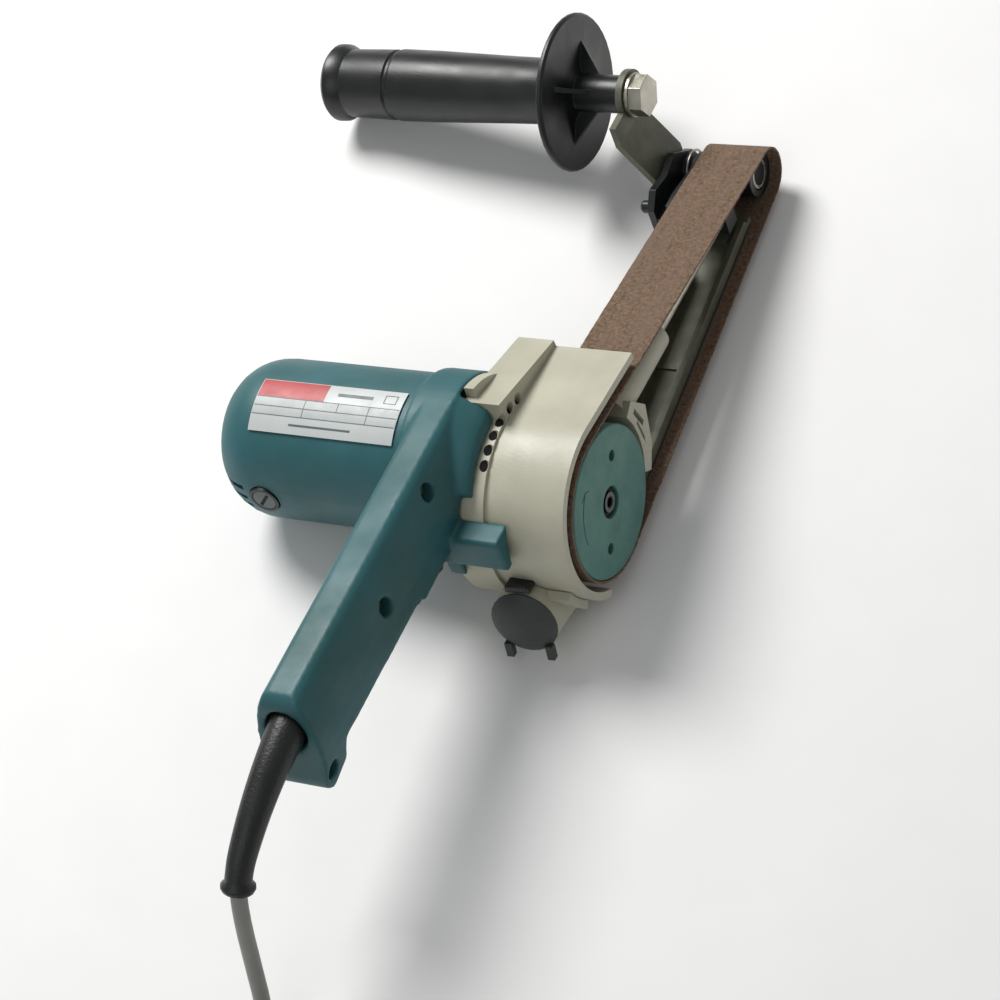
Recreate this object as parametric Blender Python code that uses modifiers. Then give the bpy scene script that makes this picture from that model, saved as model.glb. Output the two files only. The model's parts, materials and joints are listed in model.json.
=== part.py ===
"""Handheld belt sander for a 30 x 533 mm belt, built from its separate pieces.

Every piece is drawn in the tool's own frame: the origin is on the drive pulley's axis in the
middle of the belt, +X points out of the pulley's face, +Y towards the tip roller and +Z up
through the handle. The empty "sander" then lays the whole tool down on its dust nozzle, its
motor and its tip, on the surface z = 0. Dimensions are in millimetres, and MM turns them into metres.
"""
import math

import bmesh
import bpy
from mathutils import Matrix, Vector

MM = 0.001
TAU = 2 * math.pi
GAP = 0.3                      # clearance between pieces that touch

# How the tool lies: nose down by PITCH, motor end down by ROLL, then moved over the origin.
PITCH = math.radians(-7.53)
ROLL = math.radians(-10.77)
REST_SHIFT = (88.25, -36.56, 39.87)

# Belt drive
BELT_WIDTH = 30.0
BELT_THICKNESS = 1.0
PULLEY_R = 32.3                # tyre radius; the belt's inner face runs just outside it
PULLEY_FACE_X = 15.3
PULLEY_HOLE_R = 19.5           # the two holes in the pulley's face, either side of its axis
PULLEY_TURN = math.radians(52.1)
ROLLER_R = 10.8
ROLLER_Y = 195.05
BELT_INNER_REAR = PULLEY_R + GAP
BELT_INNER_TIP = ROLLER_R + GAP
BELT_LEAN = math.asin((BELT_INNER_REAR - BELT_INNER_TIP) / ROLLER_Y)
ROD_START, ROD_END = Vector((3.0, 84.5, 10.0)), Vector((3.0, 158.2, 5.0))
ROD_AXIS = (ROD_END - ROD_START).normalized()
TRACKING_AT = (0, 163.5, 6.5)
ARM_RIGHT_X = 9.0

# Motor, lying parallel to the pulley's axis
MOTOR_Y, MOTOR_Z = -1.4, 19.3
MOTOR_R = 34.3
MOTOR_WALL = 2.6
MOTOR_END_X = -154.0
MOTOR_MOUTH_X = -41.5
MOTOR_END_DEPTH, MOTOR_END_DROP = 22.0, 18.0
MOTOR_AT = (0.0, MOTOR_Y, MOTOR_Z)
BRUSH_X = -128.0

# Gears: a pinion cut on the motor shaft drives the gear on the pulley's spindle
PINION_TEETH = 9
GEAR_TEETH = 34
GEAR_CENTRES = math.hypot(MOTOR_Y, MOTOR_Z)
MODULE = 2 * GEAR_CENTRES / (PINION_TEETH + GEAR_TEETH)
GEAR_ANGLE = math.atan2(MOTOR_Z, MOTOR_Y)

# Handle
PART_X = -45.0                 # the plane where the two handle halves meet
RING_X = -38.05                # right end of the collar around the motor
COLLAR_R = 36.9
HANDLE_TOP_Z = 56.2
DIAL_AT = Vector((PART_X, -110.0, 24.0))
HANDLE_SECTION = (          # half widths at heights
    (5.8, 56.2), (8.0, 54.4), (10.2, 50.2), (12.4, 44.0), (13.8, 38.0), (14.5, 31.0), (14.0, 25.0),
    (12.9, 20.0), (11.4, 13.0), (10.0, -3.0),
)

HANDLE_SCREWS = (              # y, z, head x and how far the posts reach from the parting plane
    (-43.0, 47.0, -38.6, 9.0), (-95.0, 39.0, -36.4, 11.8), (-158.8, 18.5, -36.4, 8.0),
)

# Gear housing and belt cover
HOUSING_X = -37.7
HOUSING_R = 42.3
STEP_X = -21.0                 # where the housing steps down to the belt cover
COVER_R, COVER_INNER_R = 40.6, 37.2
COVER_FACE_X = 14.5
COVER_FRONT_Y = 51.0
COVER_END_ANGLE = math.radians(236)

# Dust nozzle: a short tube that points backwards and a little up
NOZZLE_AT = Vector((-10.6, -49.4, -21.8))
NOZZLE_AXIS = Vector((0.08, -0.973, 0.215)).normalized()
NOZZLE_R, NOZZLE_BORE = 14.2, 11.8
CAP_R, PLUG_R = 14.6, 11.0
HINGE_OUT = 15.6               # the cap's hinge, out from the nozzle's axis

# Front grip
GRIP_Y, GRIP_Z = ROLLER_Y + 0.15, 43.8
GRIP_AT = (0.0, GRIP_Y, GRIP_Z)

# Cord, 2.5 m long: it drops from its guard and is wound into a coil on the surface that the tool lies on
CORD_R = 3.3
TURN_PITCH = 6.7               # from one turn of the coil to the next, sideways and upwards
COIL_AT = (92.2, -327.0)
COIL_OUTER_TURN = 40.9
CORD_FLOOR = 3.5               # the cord's centre above the surface
PLUG_AT = (146.0, -322.0, 7.1)
PLUG_TURN = math.radians(-9)


# ---------------------------------------------------------------- scene and materials

for old in list(bpy.data.objects):
    bpy.data.objects.remove(old, do_unlink=True)

PARTS = bpy.data.collections.new("belt_sander")
CUTTERS = bpy.data.collections.new("cutters")
bpy.context.scene.collection.children.link(PARTS)
bpy.context.scene.collection.children.link(CUTTERS)
CUTTERS.hide_render = True

RIG = bpy.data.objects.new("sander", None)
PARTS.objects.link(RIG)
RIG.rotation_euler = (PITCH, ROLL, 0)
RIG.location = Vector(REST_SHIFT) * MM


def material(name, colour, roughness, metallic=0.0):
    made = bpy.data.materials.new(name)
    made.use_nodes = True
    shader = made.node_tree.nodes["Principled BSDF"]
    shader.inputs["Base Color"].default_value = (*colour, 1.0)
    shader.inputs["Roughness"].default_value = roughness
    shader.inputs["Metallic"].default_value = metallic
    made.diffuse_color = (*colour, 1.0)
    return made


TEAL = material("teal_plastic", (0.03, 0.14, 0.15), 0.42)
CREAM = material("cream_paint", (0.52, 0.49, 0.38), 0.45)
PULLEY_TEAL = material("pulley_teal", (0.09, 0.23, 0.2), 0.5)
BELT_BROWN = material("abrasive_brown", (0.24, 0.13, 0.08), 0.9)
OLIVE = material("olive_casting", (0.12, 0.12, 0.085), 0.5, 0.4)
BLACK = material("black_plastic", (0.012, 0.014, 0.015), 0.35)
RUBBER = material("black_rubber", (0.018, 0.02, 0.019), 0.6)
CAP_GREY = material("grey_rubber", (0.045, 0.052, 0.047), 0.6)
STEEL = material("bright_steel", (0.5, 0.48, 0.42), 0.35, 1.0)
IRON = material("core_steel", (0.18, 0.18, 0.19), 0.5, 1.0)
COPPER = material("copper", (0.6, 0.28, 0.14), 0.35, 1.0)
CARBON = material("carbon", (0.03, 0.03, 0.032), 0.7)
BRASS = material("brass", (0.55, 0.4, 0.16), 0.35, 1.0)
LABEL = material("label_foil", (0.62, 0.63, 0.6), 0.4)
CORD_GREY = material("grey_cord", (0.27, 0.27, 0.24), 0.6)


# ---------------------------------------------------------------- modelling helpers

def along(axis):
    """A rotation that takes local +Z to the axis."""
    axis = Vector(axis).normalized()
    if axis.x > 0.999:
        return Matrix.Rotation(TAU / 4, 4, "Y")
    if axis.x < -0.999:
        return Matrix.Rotation(-TAU / 4, 4, "Y")
    return axis.to_track_quat("Z", "Y").to_matrix().to_4x4()


def add(name, mesh, mat, at=(0, 0, 0), turn=None, rig=RIG):
    """A named piece, or a cutter where mat is None, placed at a point in the tool's frame."""
    obj = bpy.data.objects.new(name, mesh)
    (CUTTERS if mat is None else PARTS).objects.link(obj)
    if rig:
        obj.parent = rig
    obj.matrix_basis = Matrix.Translation(Vector(at) * MM) @ (turn or Matrix.Identity(4))
    if mat is None:
        obj.hide_render = True
        obj.display_type = "WIRE"
    else:
        mesh.materials.append(mat)
        mesh.shade_smooth()
        mesh.set_sharp_from_angle(angle=math.radians(35))
    return obj


def turned(name, mat, profile, at=(0, 0, 0), axis=(1, 0, 0), steps=32, closed=True, rig=RIG):
    """A profile of (radius, distance along the axis) points, turned about the axis.

    The points are listed down the profile's outer side.
    A profile that is not closed starts and ends on the axis.
    """
    mesh = bpy.data.meshes.new(name)
    points = [(radius * MM, 0, height * MM) for radius, height in profile]
    edges = [(i, i + 1) for i in range(len(points) - 1)]
    if closed:
        edges.append((len(points) - 1, 0))
    mesh.from_pydata(points, edges, [])
    obj = add(name, mesh, mat, at, along(axis), rig)
    screw = obj.modifiers.new("turn", "SCREW")
    screw.axis = "Z"
    screw.angle = TAU
    screw.steps = screw.render_steps = steps
    screw.use_merge_vertices = True
    screw.merge_threshold = 0.00001
    screw.use_smooth_shade = True
    return obj


def cylinder(name, mat, radius, start, end, steps=24, tip=None, rig=RIG):
    """A cylinder, or a cone where tip gives its far radius, from one point to another."""
    start, end = Vector(start), Vector(end)
    bm = bmesh.new()
    bmesh.ops.create_cone(
        bm, cap_ends=True, segments=steps, radius1=radius * MM,
        radius2=(radius if tip is None else tip) * MM, depth=(end - start).length * MM,
    )
    mesh = bpy.data.meshes.new(name)
    bm.to_mesh(mesh)
    bm.free()
    return add(name, mesh, mat, (start + end) / 2, along(end - start), rig)


def tube(name, mat, outer, inner, x_low, x_high, at=(0, 0, 0), steps=24):
    """A plain ring or sleeve about an axis along X."""
    profile = [(outer, x_high), (outer, x_low), (inner, x_low), (inner, x_high)]
    return turned(name, mat, profile, at, steps=steps)


def box(name, mat, low, high, bevel=0.0, segments=2, turn=None):
    low, high = Vector(low), Vector(high)
    bm = bmesh.new()
    bmesh.ops.create_cube(bm, size=1.0)
    bmesh.ops.scale(bm, vec=(high - low) * MM, verts=bm.verts)
    mesh = bpy.data.meshes.new(name)
    bm.to_mesh(mesh)
    bm.free()
    obj = add(name, mesh, mat, (low + high) / 2, turn)
    if bevel:
        round_edges(obj, bevel, segments)
    return obj


def loft(name, mat, rings, steps=56):
    """A solid through rings about the X direction, each given as x, y, z and radius."""
    bm = bmesh.new()
    turn = Matrix.Rotation(TAU / 4, 4, "Y")
    loops = []
    for x, y, z, radius in rings:
        matrix = Matrix.Translation(Vector((x, y, z)) * MM) @ turn
        made = bmesh.ops.create_circle(bm, cap_ends=False, segments=steps, radius=radius * MM, matrix=matrix)
        loops.append(list({edge for vertex in made["verts"] for edge in vertex.link_edges}))
    for first, second in zip(loops, loops[1:]):
        bmesh.ops.bridge_loops(bm, edges=first + second)
    for loop in (loops[0], loops[-1]):
        bmesh.ops.contextual_create(bm, geom=loop)
    bmesh.ops.recalc_face_normals(bm, faces=bm.faces)
    mesh = bpy.data.meshes.new(name)
    bm.to_mesh(mesh)
    bm.free()
    return add(name, mesh, mat)


def round_edges(obj, width, segments=2, angle=35):
    bevel = obj.modifiers.new("round", "BEVEL")
    bevel.width = width * MM
    bevel.segments = segments
    bevel.limit_method = "ANGLE"
    bevel.angle_limit = math.radians(angle)
    return bevel


def curve_mesh(curve, name, flat=True):
    """The mesh of a curve, with its loose caps welded and its flat faces made whole."""
    guide = bpy.data.objects.new(name + "_guide", curve)
    bpy.context.scene.collection.objects.link(guide)
    graph = bpy.context.evaluated_depsgraph_get()
    mesh = bpy.data.meshes.new_from_object(guide.evaluated_get(graph))
    bpy.data.objects.remove(guide, do_unlink=True)
    bm = bmesh.new()
    bm.from_mesh(mesh)
    bmesh.ops.remove_doubles(bm, verts=bm.verts, dist=0.000001)
    if flat:
        bmesh.ops.dissolve_limit(
            bm, angle_limit=math.radians(0.5), verts=bm.verts, edges=bm.edges, delimit={"NORMAL"}
        )
    bmesh.ops.recalc_face_normals(bm, faces=bm.faces)
    bm.to_mesh(mesh)
    bm.free()
    mesh.name = name
    return mesh


# Takes a flat outline's local x, y and z to the tool's Y, Z and X
SIDEWAYS = Matrix(((0, 0, 1, 0), (1, 0, 0, 0), (0, 1, 0, 0), (0, 0, 0, 1)))


def prism(name, mat, outline, low, high, at=(0, 0, 0), turn=SIDEWAYS, holes=(), rig=RIG):
    """A flat outline extruded between two distances; by default it is drawn in Y and Z and runs along X."""
    curve = bpy.data.curves.new(name, "CURVE")
    curve.dimensions = "2D"
    curve.fill_mode = "BOTH"
    curve.extrude = (high - low) / 2 * MM
    for loop in (outline, *holes):
        spline = curve.splines.new("POLY")
        spline.points.add(len(loop) - 1)
        for point, (across, up) in zip(spline.points, loop):
            point.co = (across * MM, up * MM, 0, 1)
        spline.use_cyclic_u = True
    mesh = curve_mesh(curve, name)
    middle = turn.to_3x3() @ Vector((0, 0, (low + high) / 2))
    return add(name, mesh, mat, Vector(at) + middle, turn, rig)


def arc(centre, radius, start, end, count):
    """Points along an arc, in degrees."""
    points = []
    for i in range(count + 1):
        angle = math.radians(start + (end - start) * i / count)
        points.append((centre[0] + radius * math.cos(angle), centre[1] + radius * math.sin(angle)))
    return points


def cut(obj, *cutters, operation="DIFFERENCE"):
    for cutter in cutters:
        boolean = obj.modifiers.new(cutter.name, "BOOLEAN")
        boolean.operation = operation
        boolean.solver = "EXACT"
        boolean.object = cutter
    return obj


def join(obj, *others):
    return cut(obj, *others, operation="UNION")


def keep(obj, region):
    return cut(obj, region, operation="INTERSECT")


# ---------------------------------------------------------------- belt drive

def belt_path(extra):
    """The belt's side outline, set out from its inner face by extra."""
    lean = math.degrees(BELT_LEAN)
    rear = arc((0, 0), BELT_INNER_REAR + extra, 90 - lean, 270 + lean, 26)
    tip = arc((ROLLER_Y, 0), BELT_INNER_TIP + extra, -90 + lean, 90 - lean, 12)
    return rear + tip


def lower_run(y, lift):
    """A point over the lower run, lift above its inner face."""
    return (y, -BELT_INNER_REAR / math.cos(BELT_LEAN) + y * math.tan(BELT_LEAN) + lift)


def make_belt():
    half = BELT_WIDTH / 2
    outer, inner = belt_path(BELT_THICKNESS), belt_path(0)
    prism("abrasive_belt", BELT_BROWN, outer, -half, half, holes=[inner])


def make_pulley():
    profile = [
        (6.8, 10.5), (6.8, PULLEY_FACE_X), (PULLEY_R - 0.8, PULLEY_FACE_X), (PULLEY_R, 14.5),
        (PULLEY_R, -14.0), (29.0, -14.0), (29.0, 11.0), (9.0, 11.0), (9.0, -13.0), (5.3, -13.0), (5.3, 10.5),
    ]
    pulley = turned("drive_pulley", PULLEY_TEAL, profile, steps=48)
    for number, side in enumerate((1, -1)):
        y, z = side * PULLEY_HOLE_R * math.cos(PULLEY_TURN), side * PULLEY_HOLE_R * math.sin(PULLEY_TURN)
        hole = cylinder(f"pulley_hole_{number}", None, 2.4, (9, y, z), (18, y, z), 16)
        cut(pulley, hole)


def make_spindle():
    profile = [
        (0, 10.0), (5.0, 10.0), (5.0, -13.3), (6.2, -13.3), (6.2, -15.6), (5.0, -15.6), (5.0, -26.6),
        (5.0, -35.8), (0, -35.8),
    ]
    turned("spindle", STEEL, profile, steps=20, closed=False)
    bolt_profile = [
        (0, 12.6), (2.2, 12.6), (2.2, 14.6), (4.4, 14.6), (4.4, 10.8), (4.4, 10.3), (0, 10.3),
    ]
    turned("pulley_bolt", BLACK, bolt_profile, steps=18, closed=False)
    tube("spindle_outer_bearing", STEEL, 11.0, 5.3, -24.0, -16.0)
    tube("spindle_inner_bearing", STEEL, 8.0, 5.3, -40.6, -35.2)


def tooth_outline(teeth, phase):
    """A spur gear's outline; phase turns the middle of a tooth away from the +Y direction."""
    pitch_r = MODULE * teeth / 2
    foot, tip = pitch_r - 1.12 * MODULE, pitch_r + 0.78 * MODULE
    step = TAU / teeth
    points = []
    for tooth in range(teeth):
        centre = phase + tooth * step
        for radius, share in ((foot, -0.33), (tip, -0.1), (tip, 0.1), (foot, 0.33)):
            angle = centre + share * step
            points.append((radius * math.cos(angle), radius * math.sin(angle)))
    return points


def make_gears():
    bore = arc((0, 0), 5.3, 0, 342, 19)
    outline = tooth_outline(GEAR_TEETH, GEAR_ANGLE)
    gear = prism("drive_gear", STEEL, outline, -33.6, -27.2, holes=[bore])
    gear.data.shade_flat()


def make_roller():
    at = (0, ROLLER_Y, 0)
    profile = [(ROLLER_R, 9.5), (ROLLER_R, -14.0), (3.8, -14.0), (3.8, 7.0), (7.6, 7.0), (7.6, 9.5)]
    turned("front_roller", BLACK, profile, at, steps=32)
    axle = [(0, 9.4), (3.4, 9.4), (3.4, -21.2), (4.6, -21.2), (4.6, -22.6), (0, -22.6)]
    turned("roller_axle", STEEL, axle, at, steps=16, closed=False)
    clip = [(6.6, 9.2), (6.6, 7.9), (3.7, 7.9), (3.7, 9.2)]
    turned("roller_clip", STEEL, clip, at, steps=20)


# ---------------------------------------------------------------- arm and belt tension

def make_arm():
    lift_low, lift_high = 1.6, 4.2
    side = [
        lower_run(36, lift_low), lower_run(177, lift_low), lower_run(177, lift_high), lower_run(36, lift_high)
    ]
    arm = prism("platen_arm", OLIVE, side, -13.0, ARM_RIGHT_X)
    rim = prism("arm_rim", None, [
        lower_run(36.5, lift_low + 0.2), lower_run(175, lift_low + 0.2),
        lower_run(171, 7.0), lower_run(40, 7.0),
    ], ARM_RIGHT_X - 2.6, ARM_RIGHT_X)
    web = prism("arm_web", None, [
        lower_run(50, lift_low + 0.3), lower_run(176, lift_low + 0.3), lower_run(176, 6.0),
        lower_run(148, 6.0), lower_run(142, 19.0), lower_run(60, 27.0), lower_run(50, 27.0),
    ], -12.8, -9.0)
    end = prism("arm_end_wall", None, [
        lower_run(160, lift_low + 0.1), lower_run(168, lift_low + 0.1),
        lower_run(168, 6.6), lower_run(160, 6.6),
    ], -22.5, 4.0)
    recess = prism("arm_recess", None, [
        lower_run(56, 3.1), lower_run(91, 3.1), lower_run(91, 12.0), lower_run(56, 12.0)
    ], -6.5, 4.0)
    cut(join(arm, rim, web, end), recess)
    pad_side = [
        lower_run(40, 0.3), lower_run(175, 0.3), lower_run(175, 1.3), lower_run(40, 1.3)
    ]
    prism("platen_pad", CARBON, pad_side, -14.0, ARM_RIGHT_X)


def make_tension():
    start, end, down = ROD_START, ROD_END, ROD_AXIS
    rod = cylinder("tension_rod", STEEL, 4.0, start - down * 26, end, 16)
    collar = cylinder("rod_collar", None, 5.6, start - down * 26, start - down * 22, 16)
    join(rod, collar)
    turns, per_turn = 5, 10
    coil_start = start - down * 44
    side = down.cross(Vector((1, 0, 0))).normalized()
    other = down.cross(side)
    points = []
    for i in range(turns * per_turn + 1):
        angle = TAU * i / per_turn
        shift = down * (17.4 * i / (turns * per_turn))
        points.append(coil_start + shift + (side * math.cos(angle) + other * math.sin(angle)) * 4.2)
    wire("tension_spring", STEEL, points, 0.6, 1)
    yoke = prism("roller_yoke", BLACK, [
        (159, -3.0), (169, -4.0), (186, -7.0), *arc((ROLLER_Y, 0), 8.4, -90, 90, 10), (188, 8.0), (167, 12.0),
        (159, 12.0)
    ], -19.6, -15.6)
    bridge = box("yoke_bridge", None, (-18.0, 158.6, -2.6), (8.0, 168.0, 11.0))
    axle_hole = cylinder("yoke_axle_hole", None, 3.7, (-24, ROLLER_Y, 0), (-10, ROLLER_Y, 0), 16)
    boss = cylinder("yoke_boss", None, 7.4, (-21.0, ROLLER_Y, 0), (-17.0, ROLLER_Y, 0), 20)
    cut(join(yoke, bridge, boss), axle_hole)


def wire(name, mat, points, radius, resolution, radii=None, rig=RIG):
    """A round wire or cord through the points, with closed ends."""
    curve = bpy.data.curves.new(name, "CURVE")
    curve.dimensions = "3D"
    curve.bevel_depth = radius * MM
    curve.bevel_resolution = resolution
    curve.use_fill_caps = True
    spline = curve.splines.new("POLY")
    spline.points.add(len(points) - 1)
    for i, (target, point) in enumerate(zip(spline.points, points)):
        target.co = (*(Vector(point) * MM), 1)
        target.radius = radii[i] if radii else 1.0
    mesh = curve_mesh(curve, name, flat=False)
    return add(name, mesh, mat, rig=rig)


def make_tip():
    """The casting at the arm's tip, the bent grip bracket on it, and the tracking screw."""
    casting = prism("tip_casting", BLACK, [
        (157, -3.0), (176, -9.0), (190, -9.5), *arc((ROLLER_Y + 1, -0.5), 9.0, -80, 70, 8), (188, 16.5),
        (176, 14.0), (164, 16.5), (157, 10.0)
    ], -28.4, -25.0)
    foot = box("casting_foot", None, (-27.0, 157.4, -12.5), (-22.9, 168.0, 5.0))
    rib = cylinder("casting_boss", None, 8.0, (-26.5, ROLLER_Y, 0), (-22.9, ROLLER_Y, 0), 20)
    join(casting, foot, rib)
    washer = tube("roller_washer", STEEL, 9.6, 9.0 - 0.4, -22.4, -21.6, (0, ROLLER_Y, 0), 24)
    washer.data.shade_smooth()
    bracket = prism("grip_bracket", OLIVE, [
        (-28.7, 4.0), (-28.7, 11.0), (-40.9, 32.6), (-40.9, 47.0), (-43.9, 47.0), (-43.9, 31.8),
        (-31.9, 10.4), (-31.9, 4.0)
    ], -200.5, -173.5, turn=FORWARD)
    tab = cylinder("bracket_tab", None, 11.5, (-43.9, GRIP_Y, GRIP_Z), (-40.9, GRIP_Y, GRIP_Z), 28)
    corner = box("bracket_corner", None, (-60, 150, 43.0), (-38, 184.2, 70), turn=None)
    bolt_hole = cylinder("bracket_bolt_hole", None, 4.4, (-50, GRIP_Y, GRIP_Z), (-30, GRIP_Y, GRIP_Z), 16)
    cut(join(bracket, tab), corner, bolt_hole)
    for number, y in enumerate((179.0, 191.0), start=1):
        cylinder(f"bracket_screw_{number}", STEEL, 3.0, (-34.4, y, 6.8), (-32.2, y, 6.8), 12)
    knob = [(0, -28.7), (2.2, -28.7), (2.2, -29.8), (3.0, -30.4), (3.0, -33.2), (2.2, -34.2), (0, -34.2)]
    turned("tracking_screw", BLACK, knob, TRACKING_AT, steps=14, closed=False)


# Takes a flat outline's local x, y and z to the tool's X, Z and -Y
FORWARD = Matrix(((1, 0, 0, 0), (0, 0, -1, 0), (0, 1, 0, 0), (0, 0, 0, 1)))


def make_grip():
    profile = [
        (4.5, -44.2), (8.5, -44.2), (8.5, -66.5), (13.0, -68.0), (34.5, -68.0), (35.5, -69.0), (35.5, -70.3),
        (34.5, -71.3), (15.6, -71.3), (14.7, -74.0), (15.2, -100.0), (16.4, -140.0), (16.6, -159.5),
        (15.5, -160.5), (15.5, -162.0), (16.3, -163.0), (15.8, -186.0), (17.8, -189.5), (18.0, -193.5),
        (16.5, -195.3), (0, -195.3), (0, -90.0), (4.5, -90.0),
    ]
    grip = turned("front_grip", BLACK, profile, GRIP_AT, steps=40)
    for number in range(4):
        angle = TAU * (number + 0.5) / 4
        turn = Matrix.Rotation(angle, 4, "X")
        rib = prism(f"grip_rib_{number}", None, [
            (7.5, -68.5), (24.0, -68.5), (9.0, -58.0), (7.5, -58.0)
        ], -1.0, 1.0, GRIP_AT, turn @ Matrix(((0, 1, 0, 0), (1, 0, 0, 0), (0, 0, -1, 0), (0, 0, 0, 1))))
        join(grip, rib)
    shank = cylinder("grip_bolt", STEEL, 4.0, (-39.5, GRIP_Y, GRIP_Z), (-84, GRIP_Y, GRIP_Z), 16)
    flange = cylinder("bolt_flange", None, 10.0, (-40.6, GRIP_Y, GRIP_Z), (-38.8, GRIP_Y, GRIP_Z), 24)
    head = cylinder("bolt_head", None, 9.6, (-39.5, GRIP_Y, GRIP_Z), (-32.8, GRIP_Y, GRIP_Z), 6)
    join(shank, flange, head)


# ---------------------------------------------------------------- gear housing, cover and nozzle

def make_housing():
    block = prism("gear_housing", CREAM, [
        (COVER_FRONT_Y + 0.5, 38.0), (2.5, 51.0), *arc((0, 0), HOUSING_R, 88, 238, 18), (-8.0, -33.0),
        (COVER_FRONT_Y + 0.5, -22.0)
    ], HOUSING_X, STEP_X)
    neck = cylinder(
        "housing_neck", None, 36.4, (HOUSING_X, *MOTOR_AT[1:]), (HOUSING_X + 4.5, *MOTOR_AT[1:]), 56
    )
    neck_room = prism("neck_room", None, [(4.0, 30.0), (60.0, 30.0), (60.0, 70.0), (8.0, 70.0)], -45.0, -25.0)
    keep(neck, neck_room)
    join(block, neck)
    lean = math.degrees(BELT_LEAN)
    front_top = (COVER_FRONT_Y, COVER_R / math.cos(BELT_LEAN) - COVER_FRONT_Y * math.tan(BELT_LEAN))
    inner_top = (COVER_FRONT_Y, front_top[1] - (COVER_R - COVER_INNER_R))
    end = math.degrees(COVER_END_ANGLE)
    band = prism("cover_band", None, [
        front_top, *arc((0, 0), COVER_R, 90 - lean, end, 26), *arc((0, 0), COVER_INNER_R, end, 90 - lean, 26),
        inner_top
    ], STEP_X - 1.0, COVER_FACE_X)
    band_back = prism("cover_back", None, [
        front_top, *arc((0, 0), COVER_R, 90 - lean, end, 26), (10.0, -28.0), (COVER_FRONT_Y, -22.0)
    ], STEP_X - 1.0, -17.2)
    join(block, band, band_back)
    tube_start, tube_end = Vector((3.0, 36.5, 13.3)), Vector((3.0, 84.0, 10.0))
    spring_tube = cylinder("spring_tube", None, 8.0, tube_start, tube_end, 20)
    bracket = prism("pulley_bracket", None, [
        (33.5, 14.5), (40.0, 17.5), (48.5, 6.5), (43.5, -10.5), (36.0, -20.5), (31.5, -17.0), (35.5, -8.0),
        (36.6, 0.0), (35.7, 8.0)
    ], -18.0, 13.2)
    down = (tube_end - tube_start).normalized()
    spring_bore = cylinder("spring_bore", None, 6.0, tube_start + down * 3, tube_end + down * 5, 20)
    join(block, spring_tube, bracket)
    cut(block, spring_bore)
    pockets = (
        ((38.4, 11.5), (40.6, 12.5), (43.6, 2.0), (41.4, 0.8)),
        ((38.2, 6.0), (39.4, 6.3), (40.2, -4.0), (39.0, -7.0)),
    )
    for number, outline in enumerate(pockets):
        cut(block, prism(f"bracket_pocket_{number}", None, outline, 6.0, 20.0))
    # Gear chamber, spindle bore and bearing seats, open towards the motor
    chamber = prism("gear_chamber", None, [
        *arc((0, 0), 18.0, 150, 390, 16), *arc((MOTOR_Y, MOTOR_Z), 13.5, 20, 160, 10)
    ], HOUSING_X - 2.0, -25.5)
    seat = cylinder("bearing_seat", None, 11.3, (-30, 0, 0), (-15.7, 0, 0), 24)
    shaft_hole = cylinder("spindle_hole", None, 8.0, (-30, 0, 0), (-10, 0, 0), 20)
    cut(block, chamber, seat, shaft_hole)
    for number in range(6):
        angle = 70 + 9.3 * number
        y, z = HOUSING_R * math.cos(math.radians(angle)), HOUSING_R * math.sin(math.radians(angle))
        slot = cylinder(f"vent_cut_{number}", None, 1.0, (-28, 0, 0), (-20, 0, 0), 12)
        slot.matrix_basis = (
            Matrix.Translation(Vector((-22.6, y, z)) * MM)
            @ Matrix.Rotation(math.radians(angle - 90), 4, "X")
            @ Matrix.Rotation(math.radians(40), 4, "Y")
            @ Matrix.Diagonal((1.7, 2.6, 1.6, 1))
        )
        cut(block, slot)


def make_motor_plate():
    """The plate that closes the gear housing and carries the motor's front bearing."""
    outline = arc((MOTOR_Y, MOTOR_Z), MOTOR_R - MOTOR_WALL - 0.4, 0, 350, 35)
    hole = arc((MOTOR_Y, MOTOR_Z), 5.0, 0, 345, 23)
    plate = prism("motor_plate", OLIVE, outline, -46.5, -38.0, holes=[hole])
    seat = cylinder("front_bearing_seat", None, 11.3, (-60, *MOTOR_AT[1:]), (-41.0, *MOTOR_AT[1:]), 24)
    spindle_seat = cylinder("inner_bearing_seat", None, 8.3, (-41.0, 0, 0), (-30, 0, 0), 20)
    cut(plate, seat, spindle_seat)


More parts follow.
